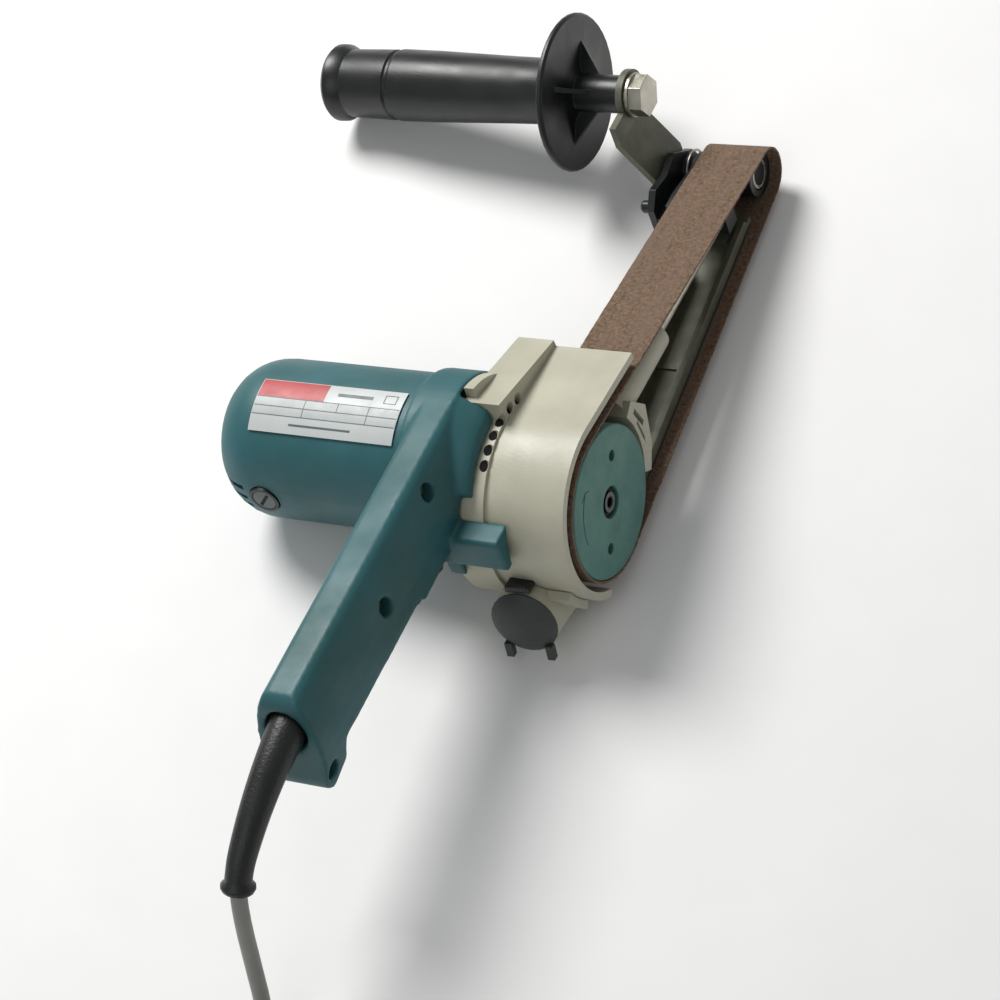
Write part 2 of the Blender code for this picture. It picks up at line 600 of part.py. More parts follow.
def make_nozzle():
    """The dust outlet, its hinged rubber cap and the strap that holds the cap."""
    root = NOZZLE_AT - NOZZLE_AXIS * 24.0
    nozzle = cylinder("dust_nozzle", CREAM, NOZZLE_R + 1.4, root, NOZZLE_AT, 28, tip=NOZZLE_R)
    flange = prism("nozzle_flange", None, [
        *arc((0, 0), COVER_R + 4.0, 198, 222, 6), *arc((0, 0), COVER_R - 1, 222, 198, 6)
    ], -18.0, 9.0)
    bore = cylinder("nozzle_bore", None, NOZZLE_BORE, root - NOZZLE_AXIS * 30, NOZZLE_AT + NOZZLE_AXIS, 24)
    clear = cylinder("nozzle_clear", None, COVER_R + GAP, (-60, 0, 0), (60, 0, 0), 64)
    room = cylinder("nozzle_clear_back", None, HOUSING_R + GAP, (-60, 0, 0), (STEP_X + GAP, 0, 0), 64)
    cut(join(nozzle, flange), bore, clear, room)
    cap_profile = [
        (0, 5.8), (5.0, 5.5), (9.5, 4.4), (12.6, 2.8), (CAP_R, 1.0), (CAP_R, GAP + 0.05),
        (PLUG_R + 0.5, GAP + 0.05), (PLUG_R, -4.0), (0, -4.0),
    ]
    cap = turned("nozzle_cap", CAP_GREY, cap_profile, NOZZLE_AT, NOZZLE_AXIS, steps=28, closed=False)
    for number, across in enumerate((8.8, -9.6)):
        lug = box(f"cap_lug_{number}", None, (-1.6, 0.5, -3.4), (1.6, 3.6, 3.4))
        lug.matrix_basis = nozzle_place((across, 2.2, -13.4))
        join(cap, lug)
    strap = box("cap_strap", RUBBER, (-5.6, -6.2, -1.5), (5.6, 6.2, 1.5), 0.8, 1)
    strap.matrix_basis = nozzle_place((0.0, -6.9, NOZZLE_R + 2.6))
    ridge = box("strap_ridge", None, (-6.4, -1.6, -1.2), (6.4, 1.6, 2.8))
    ridge.matrix_basis = nozzle_place((0.0, -9.6, NOZZLE_R + 2.6))
    cut(join(strap, ridge), clear, room)


def nozzle_place(offset):
    """A frame at an offset from the nozzle's mouth: across it, out along its axis and up."""
    up = NOZZLE_AXIS.cross(Vector((1, 0, 0))).normalized()
    across = NOZZLE_AXIS.cross(up)
    frame = Matrix((across, NOZZLE_AXIS, up)).transposed()
    return Matrix.Translation((NOZZLE_AT + frame @ Vector(offset)) * MM) @ frame.to_4x4()


# ---------------------------------------------------------------- handle

def handle_outline():
    """The grip bar's side: a flat top, a slanted rear face and the lug below it."""
    return [
        (MOTOR_Y, HANDLE_TOP_Z + 1),
        *arc((-149.0, HANDLE_TOP_Z - 8), 9, 90, 168, 5),
        (-165.0, 17.0),
        *arc((-160.0, 15.2), 5, 190, 300, 5),
        *arc((-152.0, 16.0), 4.5, 300, 360, 3),
        (-145.0, 21.5), (-76.0, 20.0), (-72.5, 15.6), (-45.0, 15.6), (-40.0, 2.0), (-30.0, -2.0),
        (MOTOR_Y, -2.0),
    ]


def handle_section():
    """The grip bar's cross-section in X and Z."""
    right = [(PART_X + half, height) for half, height in HANDLE_SECTION]
    left = [(PART_X - half, height) for half, height in HANDLE_SECTION]
    return right + left[::-1]


def make_handle():
    inner = [(PART_X + side * (half - 2.6), height - 2.6) for side, half, height in [
        *((1, half, height) for half, height in HANDLE_SECTION[:7]),
        *((-1, half, height) for half, height in HANDLE_SECTION[6::-1]),
    ]]
    motor_bore = cylinder(
        "handle_motor_bore", None, MOTOR_R + GAP, (-70, *MOTOR_AT[1:]), (HOUSING_X - 0.1, *MOTOR_AT[1:]), 64
    )
    cavity = prism("handle_cavity", None, inner, 40.0, 161.0, turn=FORWARD)
    cavity_side = prism("handle_cavity_side", None, [
        (-38.0, 60.0), (-144.0, 60.0), (-156.0, 40.0), (-157.5, 24.0), (-145.0, 23.5), (-76.0, 22.0),
        (-48.0, 19.0), (-44.0, 8.0), (-38.0, 4.0)
    ], -70.0, -20.0)
    keep(cavity, cavity_side)
    room = cylinder("handle_housing_room", None, HOUSING_R + GAP, (HOUSING_X - GAP, 0, 0), (30, 0, 0), 64)
    block_room = prism("handle_block_room", None, [
        (1.12, 20.0), (60.0, 20.0), (60.0, 80.0), (5.5, 80.0), (2.15, 51.0), (1.12, 42.3)
    ], HOUSING_X - GAP, 0)
    guard_hole = cylinder("guard_hole", None, 9.0, (PART_X, -190, 34.6), (PART_X, -150, 41.6), 24)
    trigger_slot = box("trigger_slot", None, (PART_X - 5.3, -72.8, 1), (PART_X + 5.3, -45.0, 30))
    button_hole = cylinder("lock_button_hole", None, 4.3, (-70, -82, 34), (PART_X - 8, -82, 34), 16)
    dial_slot = box("dial_slot", None, (PART_X - 3.3, -118.4, 10), (PART_X + 3.3, -101.6, 30))
    halves = (
        ("handle_left", -80.0, PART_X - GAP / 2, []),
        ("handle_right", PART_X + GAP / 2, 10.0, shroud_pieces()),
    )
    for name, low, high, extras in halves:
        bar = prism(name, TEAL, handle_section(), -MOTOR_Y, 180.0, turn=FORWARD)
        side = prism(f"{name}_outline", None, handle_outline(), -80.0, -10.0)
        keep(bar, side)
        collar_low, collar_high = (-57.6, *MOTOR_AT[1:]), (RING_X, *MOTOR_AT[1:])
        collar = cylinder(f"{name}_collar", None, COLLAR_R, collar_low, collar_high, 56)
        half_space = box(f"{name}_side", None, (low, -250, -100), (high, 100, 120))
        join(bar, collar, *extras)
        cut(bar, motor_bore, room, block_room, cavity, guard_hole, trigger_slot, button_hole, dial_slot)
        for number, (y, z, _, reach) in enumerate(HANDLE_SCREWS, start=1):
            post_low, post_high = (PART_X - reach, y, z), (PART_X + reach, y, z)
            post = cylinder(f"{name}_post_{number}", None, 5.0, post_low, post_high, 20)
            hole = cylinder(f"{name}_hole_{number}", None, 2.2, (-51.5, y, z), (-30, y, z), 12)
            join(bar, post)
            cut(bar, hole)
        keep(bar, half_space)
    for number, (y, z, head_x, _) in enumerate(HANDLE_SCREWS, start=1):
        pocket = cylinder(f"screw_pocket_{number}", None, 3.9, (head_x - 2.0, y, z), (-20, y, z), 16)
        cut(bpy.data.objects["handle_right"], pocket)
        screw = [
            (0, head_x), (3.5, head_x), (3.5, head_x - 1.6), (1.9, head_x - 1.6), (1.9, -51.0), (0, -51.0),
        ]
        turned(f"handle_screw_{number}", STEEL, screw, (0, y, z), steps=14, closed=False)


def shroud_pieces():
    """The right half's front: the shoulder over the gear housing, the wall below it and the block."""
    shoulder = loft("shoulder", None, [
        (-39.6, MOTOR_Y, MOTOR_Z, COLLAR_R), (-29.0, 2.0, 4.2, 46.0),
        (-26.6, 1.6, 3.4, 44.8), (-25.4, 1.0, 2.4, 43.2),
    ])
    sector = prism("shoulder_sector", None, [
        (-3.0, 12.0), (9.0, 12.0), (9.0, 80.0), (-52.0, 80.0), (-31.0, 31.0)
    ], -50.0, -20.0)
    keep(shoulder, sector)
    wall = prism("shroud_wall", None, [
        *arc((0, 0), 44.9, 112, 183, 12), *arc((0, 0), HOUSING_R - 4, 183, 112, 12)
    ], -41.0, -33.0)
    block = prism("shroud_block", None, [
        (-47.0, 7.6), (-47.0, 22.0), (-46.0, 23.5), (-29.0, 23.5), (-29.0, 6.4), (-46.0, 6.4)
    ], -40.3, -9.6)
    return [shoulder, wall, block]


def make_switch():
    switch = box("switch_body", BLACK, (-53.5, -89.0, 25.5), (-36.5, -50.0, 44.0))
    notch = box("switch_notch", None, (-50.5, -72.8, 20.0), (-39.5, -40.0, 30.6))
    cut(switch, notch)
    trigger = prism("trigger", BLACK, [
        (-72.0, 24.6), (-72.0, 10.0), (-70.0, 7.6), (-62.0, 6.6), (-52.0, 5.2), (-48.6, 4.0), (-46.2, 5.6),
        (-45.7, 9.0), (-46.4, 24.6)
    ], PART_X - 4.9, PART_X + 4.9)
    round_edges(trigger, 1.0, 1, 50)
    cylinder("lock_button", BLACK, 3.9, (-61.2, -82, 34), (-57.0, -82, 34), 16)
    side = Vector((2.8, 0, 0))
    dial = cylinder("speed_dial", BLACK, 7.6, DIAL_AT - side, DIAL_AT + side, 20)
    dial.data.shade_flat()
    box("speed_controller", BLACK, (-52.5, -126.0, 33.4), (-37.5, -101.0, 43.6))


# ---------------------------------------------------------------- motor

def end_curve(radius, end, depth, drop, count):
    """The motor's rounded end, from its flat disc, where the radius is less by drop, to full width."""
    points = []
    for i in range(count + 1):
        angle = TAU / 4 * i / count
        points.append((radius - drop * (1 - math.sin(angle)), end + depth * (1 - math.cos(angle))))
    return points


def make_motor_housing():
    end, mouth, wall, depth, drop = MOTOR_END_X, MOTOR_MOUTH_X, MOTOR_WALL, MOTOR_END_DEPTH, MOTOR_END_DROP
    outer = end_curve(MOTOR_R, end, depth, drop, 8)
    inner = end_curve(MOTOR_R - wall, end + wall, depth - 1, drop - 1, 6)
    profile = [(MOTOR_R, mouth), *outer[::-1], (0, end), (0, end + wall), (9.8, end + wall), (9.8, end + 9.7)]
    profile += [(12.4, end + 9.7), (12.4, end + wall), *inner, (MOTOR_R - wall, mouth)]
    housing = turned("motor_housing", TEAL, profile, MOTOR_AT, steps=44)
    for number, side in enumerate((-1, 1)):
        start = (BRUSH_X, MOTOR_Y, MOTOR_Z)
        hole = cylinder(f"brush_hole_{number}", None, 7.3, start, (BRUSH_X, MOTOR_Y + side * 60, MOTOR_Z), 20)
        cut(housing, hole)
    for side in (-1, 1):
        for number in range(4):
            turn = math.radians(8 - number * 10)
            out = Vector((0, side * math.cos(turn), math.sin(turn)))
            centre = Vector((-145.5, MOTOR_Y, MOTOR_Z)) + out * MOTOR_R
            slot = box(f"end_vent_{side}_{number}", None, (-8.0, -1.2, -9), (8.0, 1.2, 9))
            slot.matrix_basis = Matrix.Translation(centre * MM)
            slot.rotation_euler = (math.atan2(-out.y, out.z), 0, 0)
            cut(housing, slot)


def make_brushes():
    for name, side in (("rear", -1), ("front", 1)):
        at, axis = (BRUSH_X, MOTOR_Y, MOTOR_Z), (0, side, 0)
        cap = [
            (0, 34.6), (1.0, 34.6), (1.0, 33.8), (5.6, 33.8),
            (5.6, 34.9), (6.9, 34.9), (6.9, 31.4), (0, 31.4),
        ]
        turned(f"brush_cap_{name}", BLACK, cap, at, axis, steps=20, closed=False)
        holder = [(6.2, 31.0), (6.2, 14.0), (4.9, 14.0), (4.9, 31.0)]
        turned(f"brush_holder_{name}", BRASS, holder, at, axis, steps=12)
        low, high = sorted((MOTOR_Y + side * 11.6, MOTOR_Y + side * 24.0))
        brush_low, brush_high = (BRUSH_X - 2.9, low, MOTOR_Z - 3), (BRUSH_X + 2.9, high, MOTOR_Z + 3)
        box(f"carbon_brush_{name}", CARBON, brush_low, brush_high)


def make_armature():
    shaft = cylinder("motor_shaft", STEEL, 4.0, (-149.5, *MOTOR_AT[1:]), (-37.0, *MOTOR_AT[1:]), 16)
    mesh_phase = GEAR_ANGLE + math.pi + TAU / PINION_TEETH / 2
    teeth = prism("pinion_teeth", None, tooth_outline(PINION_TEETH, mesh_phase), -38.0, -26.8, MOTOR_AT)
    join(shaft, teeth)
    tube("armature_core", IRON, 17.3, 4.3, -112.0, -78.0, MOTOR_AT, 28)
    tube("commutator", COPPER, 11.0, 4.3, -137.0, -119.0, MOTOR_AT, 24)
    fan = turned("cooling_fan", BLACK, [
        (29.0, -61.0), (29.0, -62.5), (8.0, -62.5), (8.0, -72.0), (4.3, -72.0), (4.3, -61.0)
    ], MOTOR_AT, steps=28)
    for number in range(9):
        turn = Matrix.Rotation(TAU * number / 9, 4, "X")
        blade = box(f"fan_blade_{number}", None, (-71, 7.0, -0.9), (-62, 27.5, 0.9))
        blade.matrix_basis = Matrix.Translation(Vector(MOTOR_AT) * MM) @ turn @ Matrix.Translation(
            Vector((-66.5, 17.2, 0)) * MM
        )
        join(fan, blade)
    tube("field_core", IRON, 31.2, 18.4, -114.0, -76.0, MOTOR_AT, 32)
    tube("motor_rear_bearing", STEEL, 9.5, 4.3, -150.6, -144.6, MOTOR_AT, 20)
    tube("motor_front_bearing", STEEL, 11.0, 4.3, -49.0, -41.3, MOTOR_AT, 24)


def make_name_plate():
    centre = (MOTOR_Y, MOTOR_Z)
    outer = arc(centre, MOTOR_R + 0.75, 86, 126, 12)
    inner = arc(centre, MOTOR_R + 0.3, 126, 86, 12)
    prism("name_plate", LABEL, outer + inner, -131.5, -61.3)


# ---------------------------------------------------------------- cord

# The guard's centre line in the tool's frame, and its radius at each point
GUARD_POINTS = (
    (PART_X, -153.5, 40.6), (PART_X, -160.7, 39.9), (-45.3, -168.9, 38.4), (-45.8, -177.1, 36.2),
    (-46.4, -185.3, 33.3), (-47.1, -193.7, 29.6), (-47.8, -200.5, 25.9), (-48.6, -206.9, 21.7),
    (-49.3, -211.4, 17.3), (-50.0, -214.6, 12.7),
)
GUARD_RADII = (8.3, 8.3, 7.6, 7.0, 6.6, 6.4, 6.1, 5.8, 5.5, 5.3)

# The cord's routes between guard and coil and between coil and plug, in world millimetres
CORD_ROUTE = (
    (31.4, -243.8, 75.0), (31.5, -247.6, 70.5), (32.4, -252.7, 61.7), (33.4, -256.9, 52.8),
    (34.7, -261.0, 44.0), (36.3, -266.0, 33.0), (38.3, -271.5, 22.4), (40.9, -279.2, 12.2),
    (44.0, -289.4, 5.9), (46.5, -298.0, 3.8), (48.4, -305.8, CORD_FLOOR),
)
TAIL_ROUTE = (
    (52.7, -354.8, 20.2), (58.0, -361.2, 18.2), (64.6, -366.6, 16.0), (79.6, -373.7, 11.5),
    (96.4, -375.1, 7.6), (112.6, -370.8, 4.8), (126.3, -361.2, CORD_FLOOR), (136.0, -348.6, CORD_FLOOR),
    (141.6, -337.4, 4.7), (144.6, -328.6, 6.5), (145.7, -324.3, 7.1),
)


def smooth_path(points, spacing):
    """Even points on a smooth curve through the given ones."""
    points = [Vector(p) for p in points]
    padded = [2 * points[0] - points[1], *points, 2 * points[-1] - points[-2]]
    fine = []
    for i in range(1, len(padded) - 2):
        p0, p1, p2, p3 = padded[i - 1:i + 3]
        for step in range(24):
            t = step / 24
            fine.append(0.5 * (
                2 * p1 + (p2 - p0) * t + (2 * p0 - 5 * p1 + 4 * p2 - p3) * t * t
                + (3 * p1 - p0 - 3 * p2 + p3) * t ** 3
            ))
    fine.append(points[-1])
    length = sum((b - a).length for a, b in zip(fine, fine[1:]))
    count = max(2, round(length / spacing))
    even, walked, target = [fine[0]], 0.0, length / count
    for a, b in zip(fine, fine[1:]):
        part = (b - a).length
        while walked + part >= target and len(even) < count:
            even.append(a.lerp(b, (target - walked) / part))
            target += length / count
        walked += part
    even.append(fine[-1])
    return even


def make_guard():
    """The long tapered strain relief, with a lip at its end."""
    radii = [r / GUARD_RADII[0] for r in GUARD_RADII]
    guard = wire("cord_guard", RUBBER, GUARD_POINTS, GUARD_RADII[0], 3, radii)
    end = Vector(GUARD_POINTS[-1])
    down = (end - Vector(GUARD_POINTS[-2])).normalized()
    lip = cylinder("guard_lip", None, 6.9, end - down * 2.6, end + down * 0.6, 16)
    bore = cylinder("guard_bore", None, CORD_R + 0.6, end - down * 8.0, end + down * 3.0, 16)
    cut(join(guard, lip), bore)
    box("cord_clamp", BLACK, (-52.0, -152.0, 27.0), (-38.0, -146.0, 31.0))


def make_cord():
    """Tubes for the cord's loose stretches and one turned ring for the coil."""
    wire("power_cord", CORD_GREY, smooth_path(CORD_ROUTE, 12.0), CORD_R, 3, rig=None)
    wire("cord_tail", CORD_GREY, smooth_path(TAIL_ROUTE, 14.0), CORD_R, 3, rig=None)
    outer, inner = COIL_OUTER_TURN + CORD_R + 0.1, COIL_OUTER_TURN - 2 * TURN_PITCH - CORD_R - 0.1
    bottom = CORD_FLOOR - CORD_R
    step, top = CORD_FLOOR + TURN_PITCH + CORD_R, CORD_FLOOR + 3 * TURN_PITCH + CORD_R
    ledge = inner + TURN_PITCH
    profile = [
        (outer - 1.7, top), (outer, top - 1.7), (outer, bottom + 1.7), (outer - 1.7, bottom),
        (inner + 1.7, bottom), (inner, bottom + 1.7), (inner, step - 1.7), (inner + 1.7, step),
        (ledge, step), (ledge, top - 1.7), (ledge + 1.7, top),
    ]
    turned("cord_coil", CORD_GREY, profile, (*COIL_AT, 0), (0, 0, 1), steps=40, rig=None)


def make_plug():
    """A flat two-pin plug lying beside the coil, drawn forward along its own Y."""
    place = bpy.data.objects.new("plug_place", None)
    PARTS.objects.link(place)
    place.location = Vector(PLUG_AT) * MM
    place.rotation_euler = (0, 0, PLUG_TURN)
    flat = Matrix.Identity(4)
    plug = prism("plug", BLACK, [
        (-5.6, 8.0), (5.6, 8.0), (8.5, 14.0), (17.4, 25.0),
        (17.4, 42.0), (-17.4, 42.0), (-17.4, 25.0), (-8.5, 14.0),
    ], -6.8, 6.8, turn=flat, rig=place)
    round_edges(plug, 2.2, 2)
    relief = cylinder("plug_relief", None, 4.7, (0, 0, 0), (0, 12, 0), 16, tip=6.4, rig=place)
    join(plug, relief)
    for number, across in enumerate((-9.3, 9.3), start=1):
        pin = cylinder(f"plug_pin_{number}", None, 2.0, (across, 40.0, 0), (across, 61.0, 0), 14, rig=place)
        join(plug, pin)


# ---------------------------------------------------------------- joint axes

def hang(name, at, axis, *pieces):
    """An empty on a joint's axis, its Z along the axis, that carries the pieces moving with it."""
    holder = bpy.data.objects.new(name, None)
    PARTS.objects.link(holder)
    holder.parent = RIG
    place = Matrix.Translation(Vector(at) * MM) @ along(axis)
    holder.matrix_basis = place
    for piece in pieces:
        obj = bpy.data.objects[piece]
        obj.parent = holder
        obj.matrix_basis = place.inverted() @ obj.matrix_basis


def hang_moving_pieces():
    hang("spindle_axis", (0, 0, 0), (1, 0, 0), "spindle", "drive_gear", "drive_pulley", "pulley_bolt")
    hang("motor_axis", MOTOR_AT, (1, 0, 0), "motor_shaft", "armature_core", "commutator", "cooling_fan")
    tip_pieces = ("tension_rod", "roller_yoke", "roller_axle", "roller_clip", "roller_washer")
    hang("tip_slide", (0, ROLLER_Y, 0), ROD_AXIS, *tip_pieces)
    hang("roller_axis", (0, ROLLER_Y, 0), (1, 0, 0), "front_roller")
    hang("tracking_axis", TRACKING_AT, (1, 0, 0), "tracking_screw")
    hang("trigger_slide", (PART_X, -59.0, 16.0), (0, 0, 1), "trigger")
    hang("lock_slide", (-59.0, -82.0, 34.0), (1, 0, 0), "lock_button")
    hang("dial_axis", DIAL_AT, (1, 0, 0), "speed_dial")
    hinge = NOZZLE_AT + nozzle_place((0, 0, 0)).to_3x3() @ Vector((0, 0, HINGE_OUT))
    hang("cap_hinge", hinge, nozzle_place((0, 0, 0)).to_3x3() @ Vector((1, 0, 0)), "nozzle_cap")


make_belt()
make_pulley()
make_spindle()
make_gears()
make_roller()
make_arm()
make_tension()
make_tip()
make_grip()
make_housing()
make_motor_plate()
make_nozzle()
make_handle()
make_switch()
make_motor_housing()
make_brushes()
make_armature()
make_name_plate()
make_guard()
make_cord()
make_plug()
hang_moving_pieces()
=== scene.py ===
import json
import math

import bmesh
import bpy
from mathutils import Matrix, Vector, noise


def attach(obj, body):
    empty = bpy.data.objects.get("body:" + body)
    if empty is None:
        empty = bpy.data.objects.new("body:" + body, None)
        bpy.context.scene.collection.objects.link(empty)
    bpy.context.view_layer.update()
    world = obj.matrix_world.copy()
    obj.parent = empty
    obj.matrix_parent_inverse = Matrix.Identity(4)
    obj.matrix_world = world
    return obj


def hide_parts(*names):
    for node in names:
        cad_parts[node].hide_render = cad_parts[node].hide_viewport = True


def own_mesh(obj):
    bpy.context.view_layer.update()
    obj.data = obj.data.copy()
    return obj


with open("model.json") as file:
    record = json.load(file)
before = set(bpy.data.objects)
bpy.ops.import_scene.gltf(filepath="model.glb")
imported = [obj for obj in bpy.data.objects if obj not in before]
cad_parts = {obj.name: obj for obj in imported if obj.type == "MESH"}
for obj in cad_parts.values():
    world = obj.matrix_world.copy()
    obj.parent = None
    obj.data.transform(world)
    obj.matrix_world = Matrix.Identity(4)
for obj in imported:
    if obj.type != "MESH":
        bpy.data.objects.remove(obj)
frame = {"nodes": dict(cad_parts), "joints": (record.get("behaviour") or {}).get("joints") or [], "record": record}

MM = 0.001
TAU = 2 * math.pi
RECORD, NODES = frame["record"], frame["nodes"]
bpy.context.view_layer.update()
SLOT_OF = {part["node"]: part["material_slot"] for part in RECORD["subparts"]}
BODY_OF = {node: body for body, nodes in RECORD["behaviour"]["bodies"].items() for node in nodes}
JOINTS = {joint["name"]: joint for joint in frame["joints"]}

# The tool's own frame, rebuilt from its joints: X along the spindle, Y from pulley to tip roller
SPINDLE = Vector(JOINTS["spindle_spin"]["pos_m"])
AXIS_X = Vector(JOINTS["spindle_spin"]["axis"]).normalized()
AXIS_Y = (Vector(JOINTS["roller_spin"]["pos_m"]) - SPINDLE).normalized()
TOOL = Matrix.Translation(SPINDLE) @ Matrix((AXIS_X, AXIS_Y, AXIS_X.cross(AXIS_Y))).transposed().to_4x4()
ROLLER_Y = (Vector(JOINTS["roller_spin"]["pos_m"]) - SPINDLE).length / MM

# Sizes and places in the tool's frame, in millimetres and degrees
PULLEY_R, PULLEY_FACE = 32.3, 15.3
PULLEY_HOLE_R, PULLEY_TURN = 19.5, 52.1    # the two holes' circle, and the angle of the first
SEAM_X, SEAM_GAP = -45.0, 0.3              # where the handle's halves meet, and the gap between them
NOZZLE_AT, NOZZLE_R = Vector((-10.6, -49.4, -21.8)), 14.2
NOZZLE_AXIS = Vector((0.08, -0.973, 0.215)).normalized()
BELT_THICKNESS, BELT_CLEAR = 1.0, 0.02     # its inner face stands this clear of the CAD's
BELT_INNER_REAR, BELT_INNER_TIP = 32.6, 11.1
BELT_LEAN = math.asin((BELT_INNER_REAR - BELT_INNER_TIP) / ROLLER_Y)
MOTOR_Y, MOTOR_Z, MOTOR_R = -1.4, 19.3, 34.3
HOUSING_R = 42.3
BRUSH_X, BRUSH_FACE, BRUSH_TURN = -128.0, 34.8, 50
VENT_COUNT, VENT_FIRST, VENT_STEP, VENT_X = 6, 70, 9.3, -22.6
PLATE_X0, PLATE_X1 = -131.2, -61.6         # the name plate's printed part, along the motor

# The cord's routes before and after its coil, in world millimetres
CORD_R, CORD_FLOOR = 3.3, 3.5
CORD_ROUTE = (
    (31.4, -243.8, 75.0), (31.5, -247.6, 70.5), (32.4, -252.7, 61.7), (33.4, -256.9, 52.8),
    (34.7, -261.0, 44.0), (36.3, -266.0, 33.0), (38.3, -271.5, 22.4), (40.9, -279.2, 12.2),
    (44.0, -289.4, 5.9), (46.5, -298.0, 3.8), (48.4, -305.8, CORD_FLOOR),
)
TAIL_ROUTE = (
    (52.7, -354.8, 20.2), (58.0, -361.2, 18.2), (64.6, -366.6, 16.0), (79.6, -373.7, 11.5),
    (96.4, -375.1, 7.6), (112.6, -370.8, 4.8), (126.3, -361.2, CORD_FLOOR), (136.0, -348.6, CORD_FLOOR),
    (141.6, -337.4, 4.7), (144.6, -328.6, 6.5), (145.7, -324.3, 7.1),
)
# Each turn of the coil: its place in from the outermost turn, and its layer up from the floor
COIL_AT, OUTER_TURN, TURN_PITCH = (92.2, -327.0), 40.9, 6.7
TURN_PLACES = ((0, 0), (1, 0), (2, 0), (2, 1), (1, 1), (0, 1), (0, 2), (1, 2), (1, 3), (0, 3), (0, 3))
TURNS = [(OUTER_TURN - TURN_PITCH * inward, CORD_FLOOR + TURN_PITCH * layer) for inward, layer in TURN_PLACES]
TURN_STEPS, TURN_FIRST_ANGLE = 28, 185

# The cord guard's centre line in the tool's frame
GUARD_LINE = (
    (-45.0, -153.5, 40.6), (-45.0, -160.7, 39.9), (-45.3, -168.9, 38.4), (-45.8, -177.1, 36.2),
    (-46.4, -185.3, 33.3), (-47.1, -193.7, 29.6), (-47.8, -200.5, 25.9), (-48.6, -206.9, 21.7),
    (-49.3, -211.4, 17.3), (-49.8, -213.9, 13.8), (-50.0, -214.6, 12.7),
)


# ---------------------------------------------------------------- camera, floor and light

CAMERA_AT = Vector((0.4400, -0.5601, 1.0137))
CAMERA_BACK, CAMERA_UP = Vector((0.3287, -0.4414, 0.8350)), Vector((-0.2079, 0.8286, 0.5198))
LIT_POINT = (0, 0, 0.03)


def make_camera():
    """A long lens, high on the right, that looks down at the tool."""
    data = bpy.data.cameras.new("camera")
    data.lens, data.sensor_width = 101.6, 36.0
    data.clip_start, data.clip_end = 0.05, 20.0
    camera = bpy.data.objects.new("camera", data)
    bpy.context.scene.collection.objects.link(camera)
    right = CAMERA_UP.cross(CAMERA_BACK).normalized()
    up = CAMERA_BACK.cross(right).normalized()
    turn = Matrix((right, up, CAMERA_BACK.normalized())).transposed()
    camera.matrix_world = Matrix.Translation(CAMERA_AT) @ turn.to_4x4()
    bpy.context.scene.camera = camera


def area_light(name, at, size, power, colour):
    """A round soft lamp that faces the tool."""
    data = bpy.data.lights.new(name, "AREA")
    data.shape, data.size, data.energy, data.color = "DISK", size, power, colour
    light = bpy.data.objects.new(name, data)
    bpy.context.scene.collection.objects.link(light)
    light.location = at
    light.rotation_euler = (Vector(LIT_POINT) - Vector(at)).to_track_quat("-Z", "Y").to_euler()


def make_stage():
    """A pale floor, an even white sky, a key light at the upper left and a weak fill in front."""
    bpy.ops.mesh.primitive_plane_add(size=8, location=(0, 0, 0))
    floor = bpy.context.object
    floor.name = "floor"
    floor.data.materials.append(finish("floor_paper", (0.86, 0.86, 0.86), 0.85, mottle=0.01, grain=0.0))
    world = bpy.data.worlds.new("studio")
    world.use_nodes = True
    sky = world.node_tree.nodes["Background"]
    sky.inputs["Color"].default_value = (1.0, 1.0, 1.0, 1.0)
    sky.inputs["Strength"].default_value = 0.30
    bpy.context.scene.world = world
    area_light("key", (-0.85, 0.62, 1.30), 0.8, 30, (1.0, 0.99, 0.97))
    area_light("fill", (-0.2, -1.3, 1.3), 1.2, 4.0, (0.95, 0.98, 1.0))
    bpy.context.scene.view_settings.view_transform = "Standard"


# ---------------------------------------------------------------- materials

